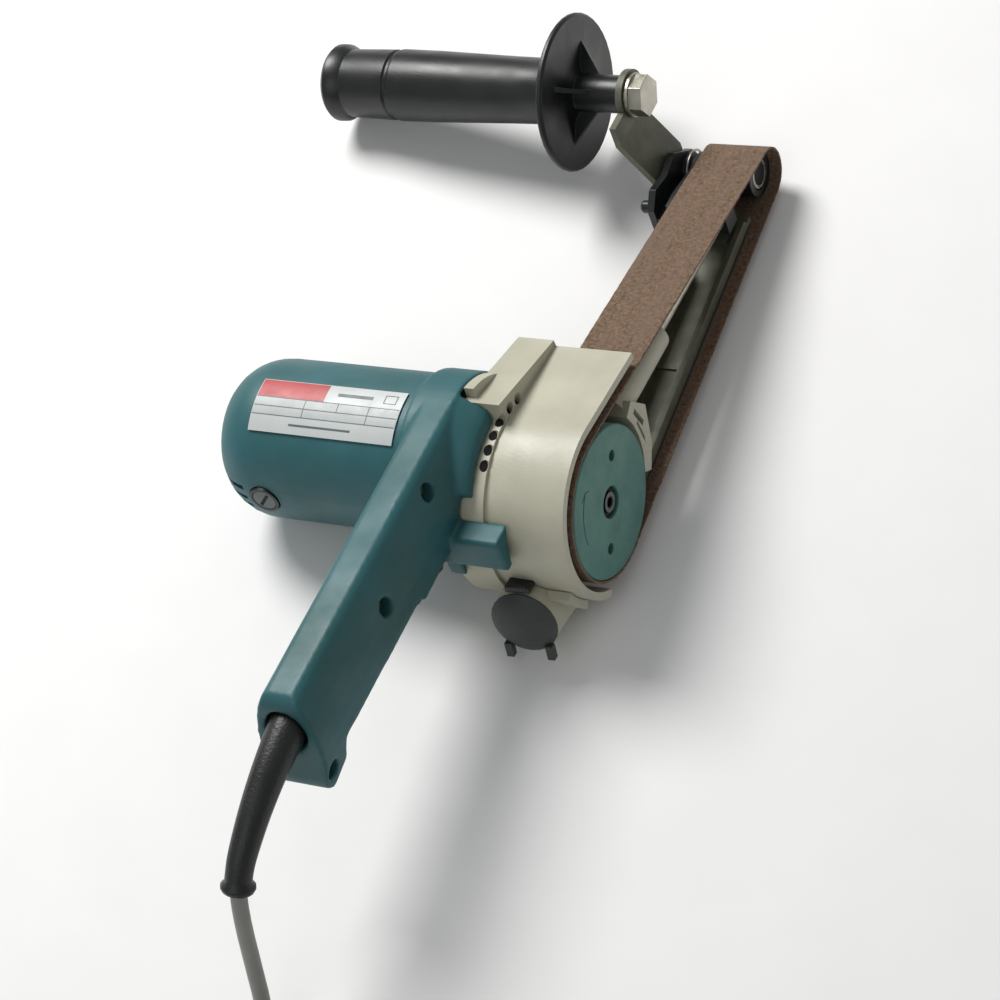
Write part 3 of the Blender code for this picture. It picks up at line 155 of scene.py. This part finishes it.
def finish(name, colour, rough, metallic=0.0, mottle=0.12, spots=26.0, grain=0.12, grain_size=0.9,
           rough_spread=0.08, second=None, wear=0.0):
    """A procedural surface: patchy colour, uneven roughness and fine grain, all fixed in the piece.

    Spots is the patches' scale in turns per metre, and grain_size is in millimetres.
    """
    made = bpy.data.materials.new(name)
    made.use_nodes = True
    tree = made.node_tree
    shader = tree.nodes["Principled BSDF"]
    shader.inputs["Metallic"].default_value = metallic
    place = tree.nodes.new("ShaderNodeTexCoord")

    def noise_of(scale, detail, low, high, distortion=0.0):
        texture = tree.nodes.new("ShaderNodeTexNoise")
        texture.inputs["Scale"].default_value = scale
        texture.inputs["Detail"].default_value = detail
        texture.inputs["Distortion"].default_value = distortion
        tree.links.new(place.outputs["Object"], texture.inputs["Vector"])
        spread = tree.nodes.new("ShaderNodeMapRange")
        spread.inputs["From Min"].default_value = 0.3
        spread.inputs["From Max"].default_value = 0.7
        spread.inputs["To Min"].default_value = low
        spread.inputs["To Max"].default_value = high
        tree.links.new(texture.outputs["Fac"], spread.inputs["Value"])
        return spread.outputs["Result"]

    def mixed(factor, first, other):
        mix = tree.nodes.new("ShaderNodeMix")
        mix.data_type = "RGBA"
        tree.links.new(factor, mix.inputs["Factor"])
        for socket, value in ((mix.inputs["A"], first), (mix.inputs["B"], other)):
            if isinstance(value, tuple):
                socket.default_value = (*value, 1)
            else:
                tree.links.new(value, socket)
        return mix.outputs["Result"]

    darker = tuple(c * (1 - mottle) for c in colour)
    lighter = tuple(min(1.0, c * (1 + mottle)) for c in (second or colour))
    tone = mixed(noise_of(spots, 4, 0, 1), darker, lighter)
    if wear:
        rubbed = tuple(min(1, c * 1.9 + 0.02) for c in colour)
        tone = mixed(noise_of(spots * 5, 6, -2.2, wear, 0.6), tone, rubbed)
    tree.links.new(tone, shader.inputs["Base Color"])
    uneven = noise_of(spots * 2.3, 5, rough - rough_spread, rough + rough_spread)
    tree.links.new(uneven, shader.inputs["Roughness"])
    if grain:
        bump = tree.nodes.new("ShaderNodeBump")
        bump.inputs["Strength"].default_value = grain
        bump.inputs["Distance"].default_value = 0.0004
        tree.links.new(noise_of(1000 / grain_size, 3, 0, 1), bump.inputs["Height"])
        tree.links.new(bump.outputs["Normal"], shader.inputs["Normal"])
    made.diffuse_color = (*colour, 1)
    return made


FINISHES = {
    "teal_plastic": finish("teal_moulding", (0.014, 0.092, 0.092), 0.5, mottle=0.14, grain=0.07,
                           grain_size=0.7, second=(0.017, 0.1, 0.118)),
    "cream_paint": finish("cream_enamel", (0.44, 0.43, 0.335), 0.45, mottle=0.09, spots=30, grain=0.07,
                          grain_size=1.2, second=(0.47, 0.455, 0.36)),
    "pulley_teal": finish("pulley_moulding", (0.06, 0.19, 0.165), 0.5, mottle=0.1, spots=70, grain=0.25,
                          grain_size=1.0, second=(0.078, 0.21, 0.175), wear=0.06),
    "abrasive_brown": finish("belt_cloth", (0.125, 0.078, 0.048), 0.9, mottle=0.22, spots=700, grain=0.9,
                             grain_size=0.55, second=(0.215, 0.14, 0.09), rough_spread=0.05),
    "olive_casting": finish("olive_casting_rough", (0.095, 0.1, 0.068), 0.5, 0.2, mottle=0.2, spots=50,
                            grain=0.14, grain_size=0.9, second=(0.125, 0.128, 0.09), wear=0.1),
    "black_plastic": finish("black_moulding", (0.006, 0.0075, 0.008), 0.38, mottle=0.2, grain=0.08,
                            grain_size=0.7, second=(0.009, 0.011, 0.0115)),
    "black_rubber": finish("black_rubber_matt", (0.009, 0.011, 0.0105), 0.42, mottle=0.2, grain=0.25,
                           grain_size=1.1),
    "grey_rubber": finish("grey_rubber_matt", (0.036, 0.044, 0.039), 0.55, mottle=0.15, grain=0.3,
                          grain_size=1.0),
    "bright_steel": finish("plated_steel", (0.46, 0.44, 0.37), 0.34, 0.9, mottle=0.15, spots=120,
                           grain=0.15, grain_size=0.6, wear=0.1),
    "core_steel": finish("core_plates", (0.18, 0.18, 0.19), 0.5, 0.9, mottle=0.2, spots=90),
    "copper": finish("copper_bars", (0.6, 0.28, 0.14), 0.35, 1.0, spots=90),
    "carbon": finish("graphite_cloth", (0.03, 0.03, 0.032), 0.7, spots=90),
    "brass": finish("drawn_brass", (0.55, 0.4, 0.16), 0.35, 1.0, spots=90),
    "label_foil": finish("foil", (0.5, 0.53, 0.53), 0.38, mottle=0.05, spots=60, grain=0.05),
    "grey_cord": finish("cord_sheath", (0.255, 0.262, 0.235), 0.5, mottle=0.1, spots=60, grain=0.12,
                        grain_size=1.2),
}
# Painted shade: a near-black finish put at the bottoms of holes, slots and recesses, where only shade falls
SHADE_PAINT = finish("painted_shade_inside", (0.006, 0.007, 0.007), 0.8, mottle=0.2, spots=80)
# Painted shade: the darker teal of the pulley arrow's engraved groove
GROOVE_SHADE_TEAL = finish("groove_shade_teal", (0.035, 0.1, 0.09), 0.6, mottle=0.1, spots=80)
RED = finish("label_red", (0.42, 0.045, 0.05), 0.4, mottle=0.08, spots=80, grain=0.05)
PRINT = finish("label_print", (0.09, 0.12, 0.13), 0.45, mottle=0.15, spots=90, grain=0.05)
PALE = finish("label_pale", (0.42, 0.45, 0.45), 0.42, mottle=0.08, spots=90, grain=0.05)
DISC = finish("brush_cap_face", (0.10, 0.125, 0.115), 0.5, mottle=0.15, spots=90, grain=0.25)


# ---------------------------------------------------------------- helpers

def put(name, mesh, body, slot, mat=None, replaces=()):
    """A new visible piece on a body."""
    obj = bpy.data.objects.new(name, mesh)
    bpy.context.scene.collection.objects.link(obj)
    obj.data.materials.clear()
    obj.data.materials.append(mat or FINISHES[slot])
    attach(obj, body)
    if replaces:
        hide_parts(*replaces)
    return obj


def mesh_of(name, points, faces, angle=35):
    """A mesh from points in the tool's frame, smooth but for its sharp edges."""
    mesh = bpy.data.meshes.new(name)
    mesh.from_pydata([tuple(TOOL @ (Vector(p) * MM)) for p in points], [], faces)
    bm = bmesh.new()
    bm.from_mesh(mesh)
    bmesh.ops.remove_doubles(bm, verts=bm.verts, dist=1e-6)
    bmesh.ops.recalc_face_normals(bm, faces=bm.faces)
    bm.to_mesh(mesh)
    bm.free()
    mesh.shade_smooth()
    mesh.set_sharp_from_angle(angle=math.radians(angle))
    return mesh


def soften(obj, width, segments=2, angle=30):
    """Rounds the edges that are sharper than the angle."""
    bevel = obj.modifiers.new("edges", "BEVEL")
    bevel.width, bevel.segments = width * MM, segments
    bevel.limit_method, bevel.angle_limit = "ANGLE", math.radians(angle)
    bevel.harden_normals = True
    return obj


def finished(node, width, angle=30):
    """A CAD node's own shape with its seams welded, smooth shading and softened edges."""
    mesh = NODES[node].data.copy()
    bm = bmesh.new()
    bm.from_mesh(mesh)
    bmesh.ops.remove_doubles(bm, verts=bm.verts, dist=2e-6)
    bmesh.ops.dissolve_limit(bm, angle_limit=math.radians(0.6), verts=bm.verts, edges=bm.edges)
    bm.to_mesh(mesh)
    bm.free()
    if "custom_normal" in mesh.attributes:
        mesh.attributes.remove(mesh.attributes["custom_normal"])
    mesh.shade_smooth()
    mesh.set_sharp_from_angle(angle=math.radians(angle))
    obj = put(f"{node}_finish", mesh, BODY_OF[node], SLOT_OF[node], None, [node])
    return soften(obj, width, 2, angle) if width else obj


def lathe(name, profile, at, steps):
    """A closed (radius, x) profile turned about a line along the tool's X."""
    points, faces = [], []
    count = len(profile)
    for i in range(steps):
        turn = TAU * i / steps
        for radius, x in profile:
            points.append((at[0] + x, at[1] + radius * math.cos(turn), at[2] + radius * math.sin(turn)))
    for i in range(steps):
        for k in range(count):
            a, b = i * count + k, i * count + (k + 1) % count
            c, d = ((i + 1) % steps) * count + (k + 1) % count, ((i + 1) % steps) * count + k
            faces.append((a, b, c, d))
    return mesh_of(name, points, faces, angle=30)


def carve(obj, cutters):
    """Cuts the cutters' shapes out and leaves no modifier behind."""
    for cutter in cutters:
        modifier = obj.modifiers.new("cut", "BOOLEAN")
        modifier.object, modifier.solver, modifier.operation = cutter, "EXACT", "DIFFERENCE"
    bpy.context.view_layer.update()
    mesh = bpy.data.meshes.new_from_object(obj.evaluated_get(bpy.context.evaluated_depsgraph_get()))
    mat = obj.data.materials[0]
    obj.modifiers.clear()
    obj.data = mesh
    mesh.materials.clear()
    mesh.materials.append(mat)
    for polygon in mesh.polygons:
        polygon.material_index = 0
    mesh.shade_smooth()
    mesh.set_sharp_from_angle(angle=math.radians(30))
    for cutter in cutters:
        bpy.data.objects.remove(cutter, do_unlink=True)


def wire(name, points, radius, body, slot, mat=None, place=Matrix.Identity(4)):
    """A round wire through points in millimetres."""
    curve = bpy.data.curves.new(name, "CURVE")
    curve.dimensions, curve.bevel_depth, curve.bevel_resolution = "3D", radius * MM, 4
    curve.use_fill_caps = True
    spline = curve.splines.new("POLY")
    spline.points.add(len(points) - 1)
    for target, point in zip(spline.points, points):
        target.co = (*(place @ (Vector(point) * MM)), 1)
    spline.use_smooth = True
    return put(name, curve, body, slot, mat)


# ---------------------------------------------------------------- cord

def smooth_path(points, spacing):
    """Even points on a smooth curve through the given ones."""
    points = [Vector(p) for p in points]
    padded = [2 * points[0] - points[1], *points, 2 * points[-1] - points[-2]]
    fine = []
    for i in range(1, len(padded) - 2):
        p0, p1, p2, p3 = padded[i - 1:i + 3]
        for step in range(24):
            t = step / 24
            fine.append(0.5 * (
                2 * p1 + (p2 - p0) * t + (2 * p0 - 5 * p1 + 4 * p2 - p3) * t * t
                + (3 * p1 - p0 - 3 * p2 + p3) * t ** 3
            ))
    fine.append(points[-1])
    length = sum((b - a).length for a, b in zip(fine, fine[1:]))
    count = max(2, round(length / spacing))
    even, walked, target = [fine[0]], 0.0, length / count
    for a, b in zip(fine, fine[1:]):
        part = (b - a).length
        while walked + part >= target and len(even) < count:
            even.append(a.lerp(b, (target - walked) / part))
            target += length / count
        walked += part
    even.append(fine[-1])
    return even


def coil_point(radius, angle, height):
    """A point round the coil's centre."""
    turn = math.radians(angle)
    return (COIL_AT[0] + radius * math.cos(turn), COIL_AT[1] + radius * math.sin(turn), height)


def cord_points():
    """Down from the guard, round and round the coil, and off it to the plug.

    Each turn keeps its place until its last part, where it eases over to the next turn's.
    """
    lead_in = [coil_point(45.0, 159, CORD_FLOOR), coil_point(42.2, 172, CORD_FLOOR)]
    coil = []
    for number, ((radius, height), (next_radius, next_height)) in enumerate(zip(TURNS, TURNS[1:])):
        for step in range(TURN_STEPS):
            share = step / TURN_STEPS
            ease = max(0.0, (share - 0.62) / 0.38)
            ease = ease * ease * (3 - 2 * ease)
            coil.append(coil_point(
                radius + (next_radius - radius) * ease, TURN_FIRST_ANGLE + 360 * (number + share),
                height + (next_height - height) * ease,
            ))
    lead_out = [coil_point(41.2, 185, 23.6), coil_point(43.4, 198, 22.6)]
    return smooth_path([*CORD_ROUTE, *lead_in, *coil, *lead_out, *TAIL_ROUTE], 7.0)


def make_cord():
    """The whole free cord as one tube, with its plug and its guard."""
    points = cord_points()
    cord = wire("power_cord_sheath", points, CORD_R, "body", "grey_cord")
    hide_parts("power_cord", "cord_coil", "cord_tail")
    plug, guard = finished("plug", 0.3), make_guard()


def guard_radius(share, left):
    """The guard's radius at a share of its length: a taper, then a rounded lip over what is left."""
    lip_length, lip_rise, lip_round = 3.4, 1.2, 1.2
    if left < lip_length:
        rise = math.sin(min(1.0, (lip_length - left) / lip_rise) * TAU / 4)
        return 5.4 + 1.5 * rise - 0.5 * max(0, lip_round - left)
    return 8.3 - 2.9 * min(1.0, share * 1.12) ** 0.8


def make_guard():
    """The long rubber cord guard: smooth and round, thinner towards its flared end."""
    line = smooth_path(GUARD_LINE, 1.2)
    last = len(line) - 1
    curve = bpy.data.curves.new("cord_guard_rubber", "CURVE")
    curve.dimensions, curve.bevel_depth, curve.bevel_resolution = "3D", MM, 7
    curve.use_fill_caps = True
    spline = curve.splines.new("POLY")
    spline.points.add(last)
    for i, (target, point) in enumerate(zip(spline.points, line)):
        target.co = (*(TOOL @ (point * MM)), 1)
        target.radius = guard_radius(i / last, (line[-1] - point).length)
    spline.use_smooth = True
    return put("cord_guard_rubber", curve, "body", "black_rubber", None, ["cord_guard"])


# ---------------------------------------------------------------- belt drive

def belt_loop(offset):
    """Points along the belt, offset outwards from its inner face."""
    lean = math.degrees(BELT_LEAN)
    rear, tip = [], []
    for i in range(91):
        angle = math.radians(90 - lean + (180 + 2 * lean) * i / 90)
        radius = BELT_INNER_REAR + offset
        rear.append((radius * math.cos(angle), radius * math.sin(angle)))
    for i in range(41):
        angle = math.radians(-90 + lean + (180 - 2 * lean) * i / 40)
        radius = BELT_INNER_TIP + offset
        tip.append((ROLLER_Y + radius * math.cos(angle), radius * math.sin(angle)))

    def between(a, b, count):
        steps = [i / count for i in range(1, count)]
        return [(a[0] + (b[0] - a[0]) * share, a[1] + (b[1] - a[1]) * share) for share in steps]

    return rear + between(rear[-1], tip[0], 110) + tip + between(tip[-1], rear[0], 110)


def make_belt():
    """The abrasive belt: a thin closed loop with slightly frayed edges."""
    outer, inner = belt_loop(BELT_THICKNESS), belt_loop(BELT_CLEAR)
    across = (-15.0, -14.7, -14.0, -9.0, -3.0, 3.0, 9.0, 14.0, 14.7, 15.0)
    edge = 14.5
    points, faces = [], []
    for loop in (outer, inner):
        for i, (y, z) in enumerate(loop):
            for x in across:
                fray = 0.55 * abs(noise.noise(Vector((i * 0.55, x, 3.1)))) if abs(x) > edge else 0.0
                points.append((x - math.copysign(fray, x), y, z))
    rows, wide = len(outer), len(across)

    def index(side, i, k):
        return (side * rows + i % rows) * wide + k

    for i in range(rows):
        for k in range(wide - 1):
            faces.append((index(0, i, k), index(0, i + 1, k), index(0, i + 1, k + 1), index(0, i, k + 1)))
            faces.append((index(1, i, k), index(1, i, k + 1), index(1, i + 1, k + 1), index(1, i + 1, k)))
        for k in (0, wide - 1):
            faces.append((index(0, i, k), index(1, i, k), index(1, i + 1, k), index(0, i + 1, k)))
    mesh = mesh_of("abrasive_belt_cloth", points, faces, angle=60)
    put("abrasive_belt_cloth", mesh, "body", "abrasive_brown", belt_cloth(), ["abrasive_belt"])


def belt_cloth():
    """Abrasive cloth: the belt's own finish, with worn streaks added along its run."""
    made = FINISHES["abrasive_brown"]
    tree = made.node_tree
    shader = tree.nodes["Principled BSDF"]
    old = shader.inputs["Base Color"].links[0].from_socket
    place = tree.nodes.new("ShaderNodeTexCoord")
    turn = tree.nodes.new("ShaderNodeMapping")
    turn.inputs["Rotation"].default_value = TOOL.to_3x3().transposed().to_euler()
    tree.links.new(place.outputs["Object"], turn.inputs["Vector"])
    stretch = tree.nodes.new("ShaderNodeVectorMath")
    stretch.operation = "MULTIPLY"
    # The tone changes fast across the belt, along the tool's X, and slowly along it
    stretch.inputs[1].default_value = (260, 9, 9)
    tree.links.new(turn.outputs["Vector"], stretch.inputs[0])
    streak = tree.nodes.new("ShaderNodeTexNoise")
    streak.inputs["Scale"].default_value = 1.0
    streak.inputs["Detail"].default_value = 4
    tree.links.new(stretch.outputs["Vector"], streak.inputs["Vector"])
    spread = tree.nodes.new("ShaderNodeMapRange")
    spread.inputs["From Min"].default_value = 0.45
    spread.inputs["From Max"].default_value = 0.75
    tree.links.new(streak.outputs["Fac"], spread.inputs["Value"])
    mix = tree.nodes.new("ShaderNodeMix")
    mix.data_type = "RGBA"
    tree.links.new(spread.outputs["Result"], mix.inputs["Factor"])
    tree.links.new(old, mix.inputs["A"])
    mix.inputs["B"].default_value = (0.2, 0.135, 0.1, 1)
    tree.links.new(mix.outputs["Result"], shader.inputs["Base Color"])
    return made


def on_face(radius, angle, x=PULLEY_FACE):
    """A point on the pulley's face, at an angle from the tool's Y."""
    return (x, radius * math.cos(math.radians(angle)), radius * math.sin(math.radians(angle)))


def make_pulley():
    """The drive pulley: a flat moulded face with two holes and a centre recess, with painted shade at their
    bottoms, and an engraved arrow.
    """
    profile = [
        (6.8, 15.0), (7.1, PULLEY_FACE), (31.2, PULLEY_FACE), (31.9, 15.1), (PULLEY_R, 14.5),
        (PULLEY_R, -14.0), (31.9, -14.3), (29.0, -14.0), (29.0, 11.0), (9.0, 11.0), (9.0, -13.0),
        (5.6, -13.0), (5.6, 10.6), (6.8, 10.6),
    ]
    mesh = lathe("drive_pulley_moulding", profile, (0, 0, 0), 128)
    pulley = put("drive_pulley_moulding", mesh, "spindle", "pulley_teal", None, ["drive_pulley"])
    cutters = []
    for number, angle in enumerate((PULLEY_TURN, PULLEY_TURN + 180), start=1):
        _, y, z = on_face(PULLEY_HOLE_R, angle)
        bpy.ops.mesh.primitive_cylinder_add(radius=2.45 * MM, depth=10 * MM, vertices=40)
        cutter = bpy.context.object
        spot = Matrix.Translation(Vector((14, y, z)) * MM)
        cutter.matrix_world = TOOL @ spot @ Matrix.Rotation(TAU / 4, 4, "Y")
        cutters.append(cutter)
        # Painted shade: a dark disc at the bottom of each hole stands in for the shade inside it
        floor = [(0.01, 12.4), (2.44, 12.4), (2.44, 11.6), (0.01, 11.6)]
        disc = lathe(f"pulley_hole_shade_{number}", floor, (0, y, z), 32)
        put(f"pulley_hole_shade_{number}", disc, "spindle", "pulley_teal", SHADE_PAINT)
    carve(pulley, cutters)
    make_arrow()
    # Painted shade: a dark ring on the centre recess's floor, round the bolt, stands in for the shade in the
    # recess
    recess_shade = [(6.75, 13.6), (6.75, 12.4), (4.6, 12.4), (4.6, 13.6)]
    recess_shade_mesh = lathe("pulley_recess_shade", recess_shade, (0, 0, 0), 64)
    put("pulley_recess_shade", recess_shade_mesh, "spindle", "black_plastic", SHADE_PAINT)
    rim = [(4.3, 14.75), (4.3, 14.4), (2.7, 14.4), (2.7, 14.75)]
    put("pulley_bolt_rim", lathe("pulley_bolt_rim", rim, (0, 0, 0), 48), "spindle", "black_plastic", DISC)


def make_arrow():
    """The arrow engraved in the pulley's face, which shows how it turns; its groove is a thin tube in a darker
    teal, painted shade.
    """
    arrow = [on_face(24.4, 124 + 52 * i / 24, 15.2) for i in range(25)]
    wire("pulley_arrow", arrow, 0.34, "spindle", "pulley_teal", GROOVE_SHADE_TEAL, TOOL)
    tick = [on_face(21.8, 119, 15.2), on_face(24.6, 123, 15.2), on_face(26.0, 132, 15.2)]
    wire("pulley_arrow_tip", tick, 0.3, "spindle", "pulley_teal", GROOVE_SHADE_TEAL, TOOL)


def make_strap():
    """The rubber cap's strap: a thick tab over the nozzle's upper side, with a raised bar across it."""
    up = NOZZLE_AXIS.cross(Vector((1, 0, 0))).normalized()
    turn = Matrix((NOZZLE_AXIS.cross(up), NOZZLE_AXIS, up)).transposed()
    place = TOOL @ Matrix.Translation(NOZZLE_AT * MM) @ turn.to_4x4()
    parts = (
        ("cap_strap_tab", (-5.6, -12.0, NOZZLE_R + 0.6), (5.6, 0.6, NOZZLE_R + 3.4), ["cap_strap"]),
        ("cap_strap_bar", (-6.4, -12.4, NOZZLE_R + 0.8), (6.4, -8.6, NOZZLE_R + 5.2), []),
        ("cap_strap_lip", (-4.6, -1.4, NOZZLE_R + 1.2), (4.6, 0.9, NOZZLE_R + 4.0), []),
    )
    for name, low, high, replaced in parts:
        middle, size = (Vector(low) + Vector(high)) / 2, Vector(high) - Vector(low)
        bpy.ops.mesh.primitive_cube_add(size=1)
        block = bpy.context.object
        mesh = block.data
        mesh.transform(place @ Matrix.Translation(middle * MM) @ Matrix.Diagonal((*(size * MM), 1)))
        bpy.data.objects.remove(block)
        soften(put(name, mesh, "body", "black_rubber", None, replaced), 0.7, 3)


def make_spring():
    """The tension spring: its CAD shape with welded seams and smooth shading, on a mesh of its own."""
    spring = finished("tension_spring", 0.0)
    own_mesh(spring)


def make_roller_end():
    """The tip roller's open end: a bright ring round a disc of painted shade in its mouth, and the axle behind it.
    """
    at = (0, ROLLER_Y, 0)
    ring = lathe("roller_end_ring", [(6.9, 9.3), (6.9, 8.0), (5.5, 8.0), (5.5, 9.3)], at, 64)
    put("roller_end_ring", ring, "tip", "bright_steel", None, ["roller_clip"])
    # Painted shade: a dark disc inside the ring stands in for the shade in the roller's open end
    end_shade = lathe("roller_end_shade", [(0.01, 8.7), (5.4, 8.7), (5.4, 8.0), (0.01, 8.0)], at, 48)
    put("roller_end_shade", end_shade, "tip", "bright_steel", SHADE_PAINT, ["roller_axle"])
    bar = [(0.01, 8.0), (3.4, 8.0), (3.4, -21.2), (4.6, -21.2), (4.6, -22.6), (0.01, -22.6)]
    put("roller_axle_bar", lathe("roller_axle_bar", bar, at, 32), "tip", "bright_steel")


# ---------------------------------------------------------------- handle and motor

def seam_half(cast, name, is_left):
    """The closed part of a mesh on one side of the handle's seam."""
    half = bmesh.new()
    half.from_mesh(cast)
    found = bmesh.ops.bisect_plane(
        half, geom=half.verts[:] + half.edges[:] + half.faces[:],
        plane_co=TOOL @ Vector((SEAM_X * MM, 0, 0)), plane_no=TOOL.to_3x3() @ Vector((1, 0, 0)),
        clear_outer=is_left, clear_inner=not is_left,
    )
    rim = [part for part in found["geom_cut"] if isinstance(part, bmesh.types.BMEdge)]
    bmesh.ops.triangle_fill(half, use_beauty=True, edges=rim)
    bmesh.ops.recalc_face_normals(half, faces=half.faces)
    mesh = bpy.data.meshes.new(name)
    half.to_mesh(mesh)
    half.free()
    mesh.shade_smooth()
    mesh.set_sharp_from_angle(angle=math.radians(60))
    return mesh


def make_handle():
    """The handle's two halves, closed tight along their seam, with a mould's rounded edges and corners."""
    bm, overlap = bmesh.new(), 0.4 * MM
    for node, side in (("handle_left", 1), ("handle_right", -1)):
        known = len(bm.verts)
        bm.from_mesh(NODES[node].data)
        bm.verts.ensure_lookup_table()
        for vert in bm.verts[known:]:
            spot = TOOL.inverted() @ vert.co
            if abs(spot.x - SEAM_X * MM) < SEAM_GAP / 1.5 * MM:
                spot.x += side * overlap
                vert.co = TOOL @ spot
    bmesh.ops.remove_doubles(bm, verts=bm.verts, dist=2e-6)
    mesh = bpy.data.meshes.new("handle_whole")
    bm.to_mesh(mesh)
    bm.free()
    whole = bpy.data.objects.new("handle_whole", mesh)
    bpy.context.scene.collection.objects.link(whole)
    remesh = whole.modifiers.new("mould", "REMESH")
    remesh.mode, remesh.voxel_size = "VOXEL", 0.7 * MM
    smooth = whole.modifiers.new("round", "SMOOTH")
    smooth.factor, smooth.iterations = 0.5, 16
    cast = bpy.data.meshes.new_from_object(whole.evaluated_get(bpy.context.evaluated_depsgraph_get()))
    bpy.data.objects.remove(whole)
    for node, is_left in (("handle_left", True), ("handle_right", False)):
        mesh = seam_half(cast, f"{node}_finish", is_left)
        put(f"{node}_finish", mesh, BODY_OF[node], SLOT_OF[node], None, [node])


def patch(name, x0, x1, a0, a1, radius, thick, mat, steps=24):
    """A thin curved plate on the motor's barrel, between two places along it and two angles round it."""
    points, faces = [], []
    for i in range(steps + 1):
        angle = math.radians(a0 + (a1 - a0) * i / steps)
        for r in (radius, radius + thick):
            for x in (x0, x1):
                points.append((x, MOTOR_Y + r * math.cos(angle), MOTOR_Z + r * math.sin(angle)))
    for i in range(steps):
        a, b = 4 * i, 4 * (i + 1)
        faces += [
            (a, a + 1, b + 1, b), (a + 2, b + 2, b + 3, a + 3),
            (a, b, b + 2, a + 2), (a + 1, a + 3, b + 3, b + 1),
        ]
    faces += [(0, 2, 3, 1), (4 * steps, 4 * steps + 1, 4 * steps + 3, 4 * steps + 2)]
    return put(name, mesh_of(name, points, faces), "body", "label_foil", mat)


def make_label():
    """A plain rating plate: a red block, a pale table with ruled lines, and no lettering."""
    finished("name_plate", 0.0)
    top = MOTOR_R + 0.76
    patch("label_red_block", PLATE_X0, -98.6, 86.5, 100.4, top, 0.05, RED)
    patch("label_row_fill_1", PLATE_X0, PLATE_X1, 101.2, 107.2, top, 0.05, PALE)
    patch("label_row_fill_2", PLATE_X0, PLATE_X1, 108.0, 113.6, top, 0.05, PALE)
    lines = (
        (PLATE_X0, PLATE_X1, 100.6, 101.0), (PLATE_X0, PLATE_X1, 107.4, 107.8),
        (PLATE_X0, PLATE_X1, 113.8, 114.2),
        (-107.0, -106.6, 101.0, 113.8), (-91.0, -90.6, 101.0, 107.6), (-76.0, -75.6, 101.0, 113.8),
        (-112.0, -82.0, 119.0, 120.4), (-70.6, -64.6, 90.0, 90.5), (-70.6, -64.6, 96.5, 97.0),
        (-70.6, -70.2, 90.0, 97.0), (-65.0, -64.6, 90.0, 97.0), (-93.0, -76.0, 92.5, 95.0),
    )
    for number, (x0, x1, a0, a1) in enumerate(lines, start=1):
        patch(f"label_line_{number}", x0, x1, a0, a1, top + 0.04, 0.04, PRINT, 6)


def make_brush_discs():
    """The slotted faces of the two brush caps, each with painted shade on its slot's floor."""
    middle = TOOL @ Matrix.Translation(Vector((BRUSH_X, MOTOR_Y, MOTOR_Z)) * MM)
    for name, side in (("front", 1), ("rear", -1)):
        outwards = middle @ Matrix.Rotation(-side * TAU / 4, 4, "X")
        place = outwards @ Matrix.Rotation(math.radians(BRUSH_TURN), 4, "Z")
        bpy.ops.mesh.primitive_cylinder_add(radius=5.3 * MM, depth=0.9 * MM, vertices=48)
        disc = bpy.context.object
        disc.name = f"brush_cap_disc_{name}"
        disc.data.transform(place @ Matrix.Translation((0, 0, (BRUSH_FACE - 0.45) * MM)))
        disc.data.materials.append(DISC)
        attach(disc, "body")
        carve(disc, [slot_block(place, BRUSH_FACE + 0.1, (9.0, 1.5, 1.4))])
        # Painted shade: a thin dark strip on the slot's floor
        floor = slot_block(place, BRUSH_FACE - 0.16, (8.8, 1.4, 0.06))
        floor.name = f"brush_slot_shade_{name}"
        floor.data.materials.append(SHADE_PAINT)
        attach(floor, "body")


def slot_block(place, height, size):
    """A block of the size in millimetres, centred at a height along the place's Z."""
    bpy.ops.mesh.primitive_cube_add(size=1)
    block = bpy.context.object
    block.data.transform(
        place @ Matrix.Translation((0, 0, height * MM)) @ Matrix.Diagonal((*(Vector(size) * MM), 1))
    )
    return block


def make_vent_shade():
    """Painted shade in the gear housing's row of slots: a dark disc sunk into each."""
    for number in range(VENT_COUNT):
        angle = math.radians(VENT_FIRST + VENT_STEP * number)
        at = Vector((VENT_X, HOUSING_R * math.cos(angle), HOUSING_R * math.sin(angle)))
        # Painted shade: each slot gets a dark flattened disc below its mouth
        bpy.ops.mesh.primitive_cylinder_add(radius=1, depth=4.6, vertices=28)
        inside = bpy.context.object
        inside.name = f"vent_painted_shade_{number + 1}"
        inside.data.transform(
            TOOL @ Matrix.Translation(at * MM) @ Matrix.Rotation(angle - TAU / 4, 4, "X")
            @ Matrix.Rotation(math.radians(40), 4, "Y")
            @ Matrix.Diagonal((1.68 * MM, 2.58 * MM, 1 * MM, 1)) @ Matrix.Translation((0, 0, -3.6))
        )
        inside.data.materials.append(SHADE_PAINT)
        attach(inside, "body")


# ---------------------------------------------------------------- the whole

# The nodes that keep their own shape, and how far their edges are rounded, in millimetres
EDGE_WIDTHS = {
    "gear_housing": 0.7, "motor_housing": 0.4, "dust_nozzle": 0.5, "nozzle_cap": 0.4, "platen_arm": 0.35,
    "tip_casting": 0.5, "grip_bracket": 0.3, "front_grip": 0.35, "grip_bolt": 0.3, "roller_yoke": 0.4,
    "front_roller": 0.3, "tracking_screw": 0.2, "tension_rod": 0.2, "trigger": 0.3,
    "brush_cap_front": 0.2, "brush_cap_rear": 0.2, "pulley_bolt": 0.2, "bracket_screw_1": 0.2,
    "bracket_screw_2": 0.2, "handle_screw_1": 0.2, "handle_screw_2": 0.2, "handle_screw_3": 0.2,
    "speed_dial": 0.2, "lock_button": 0.3, "roller_washer": 0.1, "platen_pad": 0.1,
}

make_camera()
make_stage()
make_cord()
make_belt()
make_handle()
make_pulley()
make_strap()
make_spring()
make_roller_end()
make_label()
make_brush_discs()
make_vent_shade()
for node, width in EDGE_WIDTHS.items():
    finished(node, width)
for node, obj in NODES.items():
    obj.data.materials.clear()
    obj.data.materials.append(FINISHES[SLOT_OF[node]])
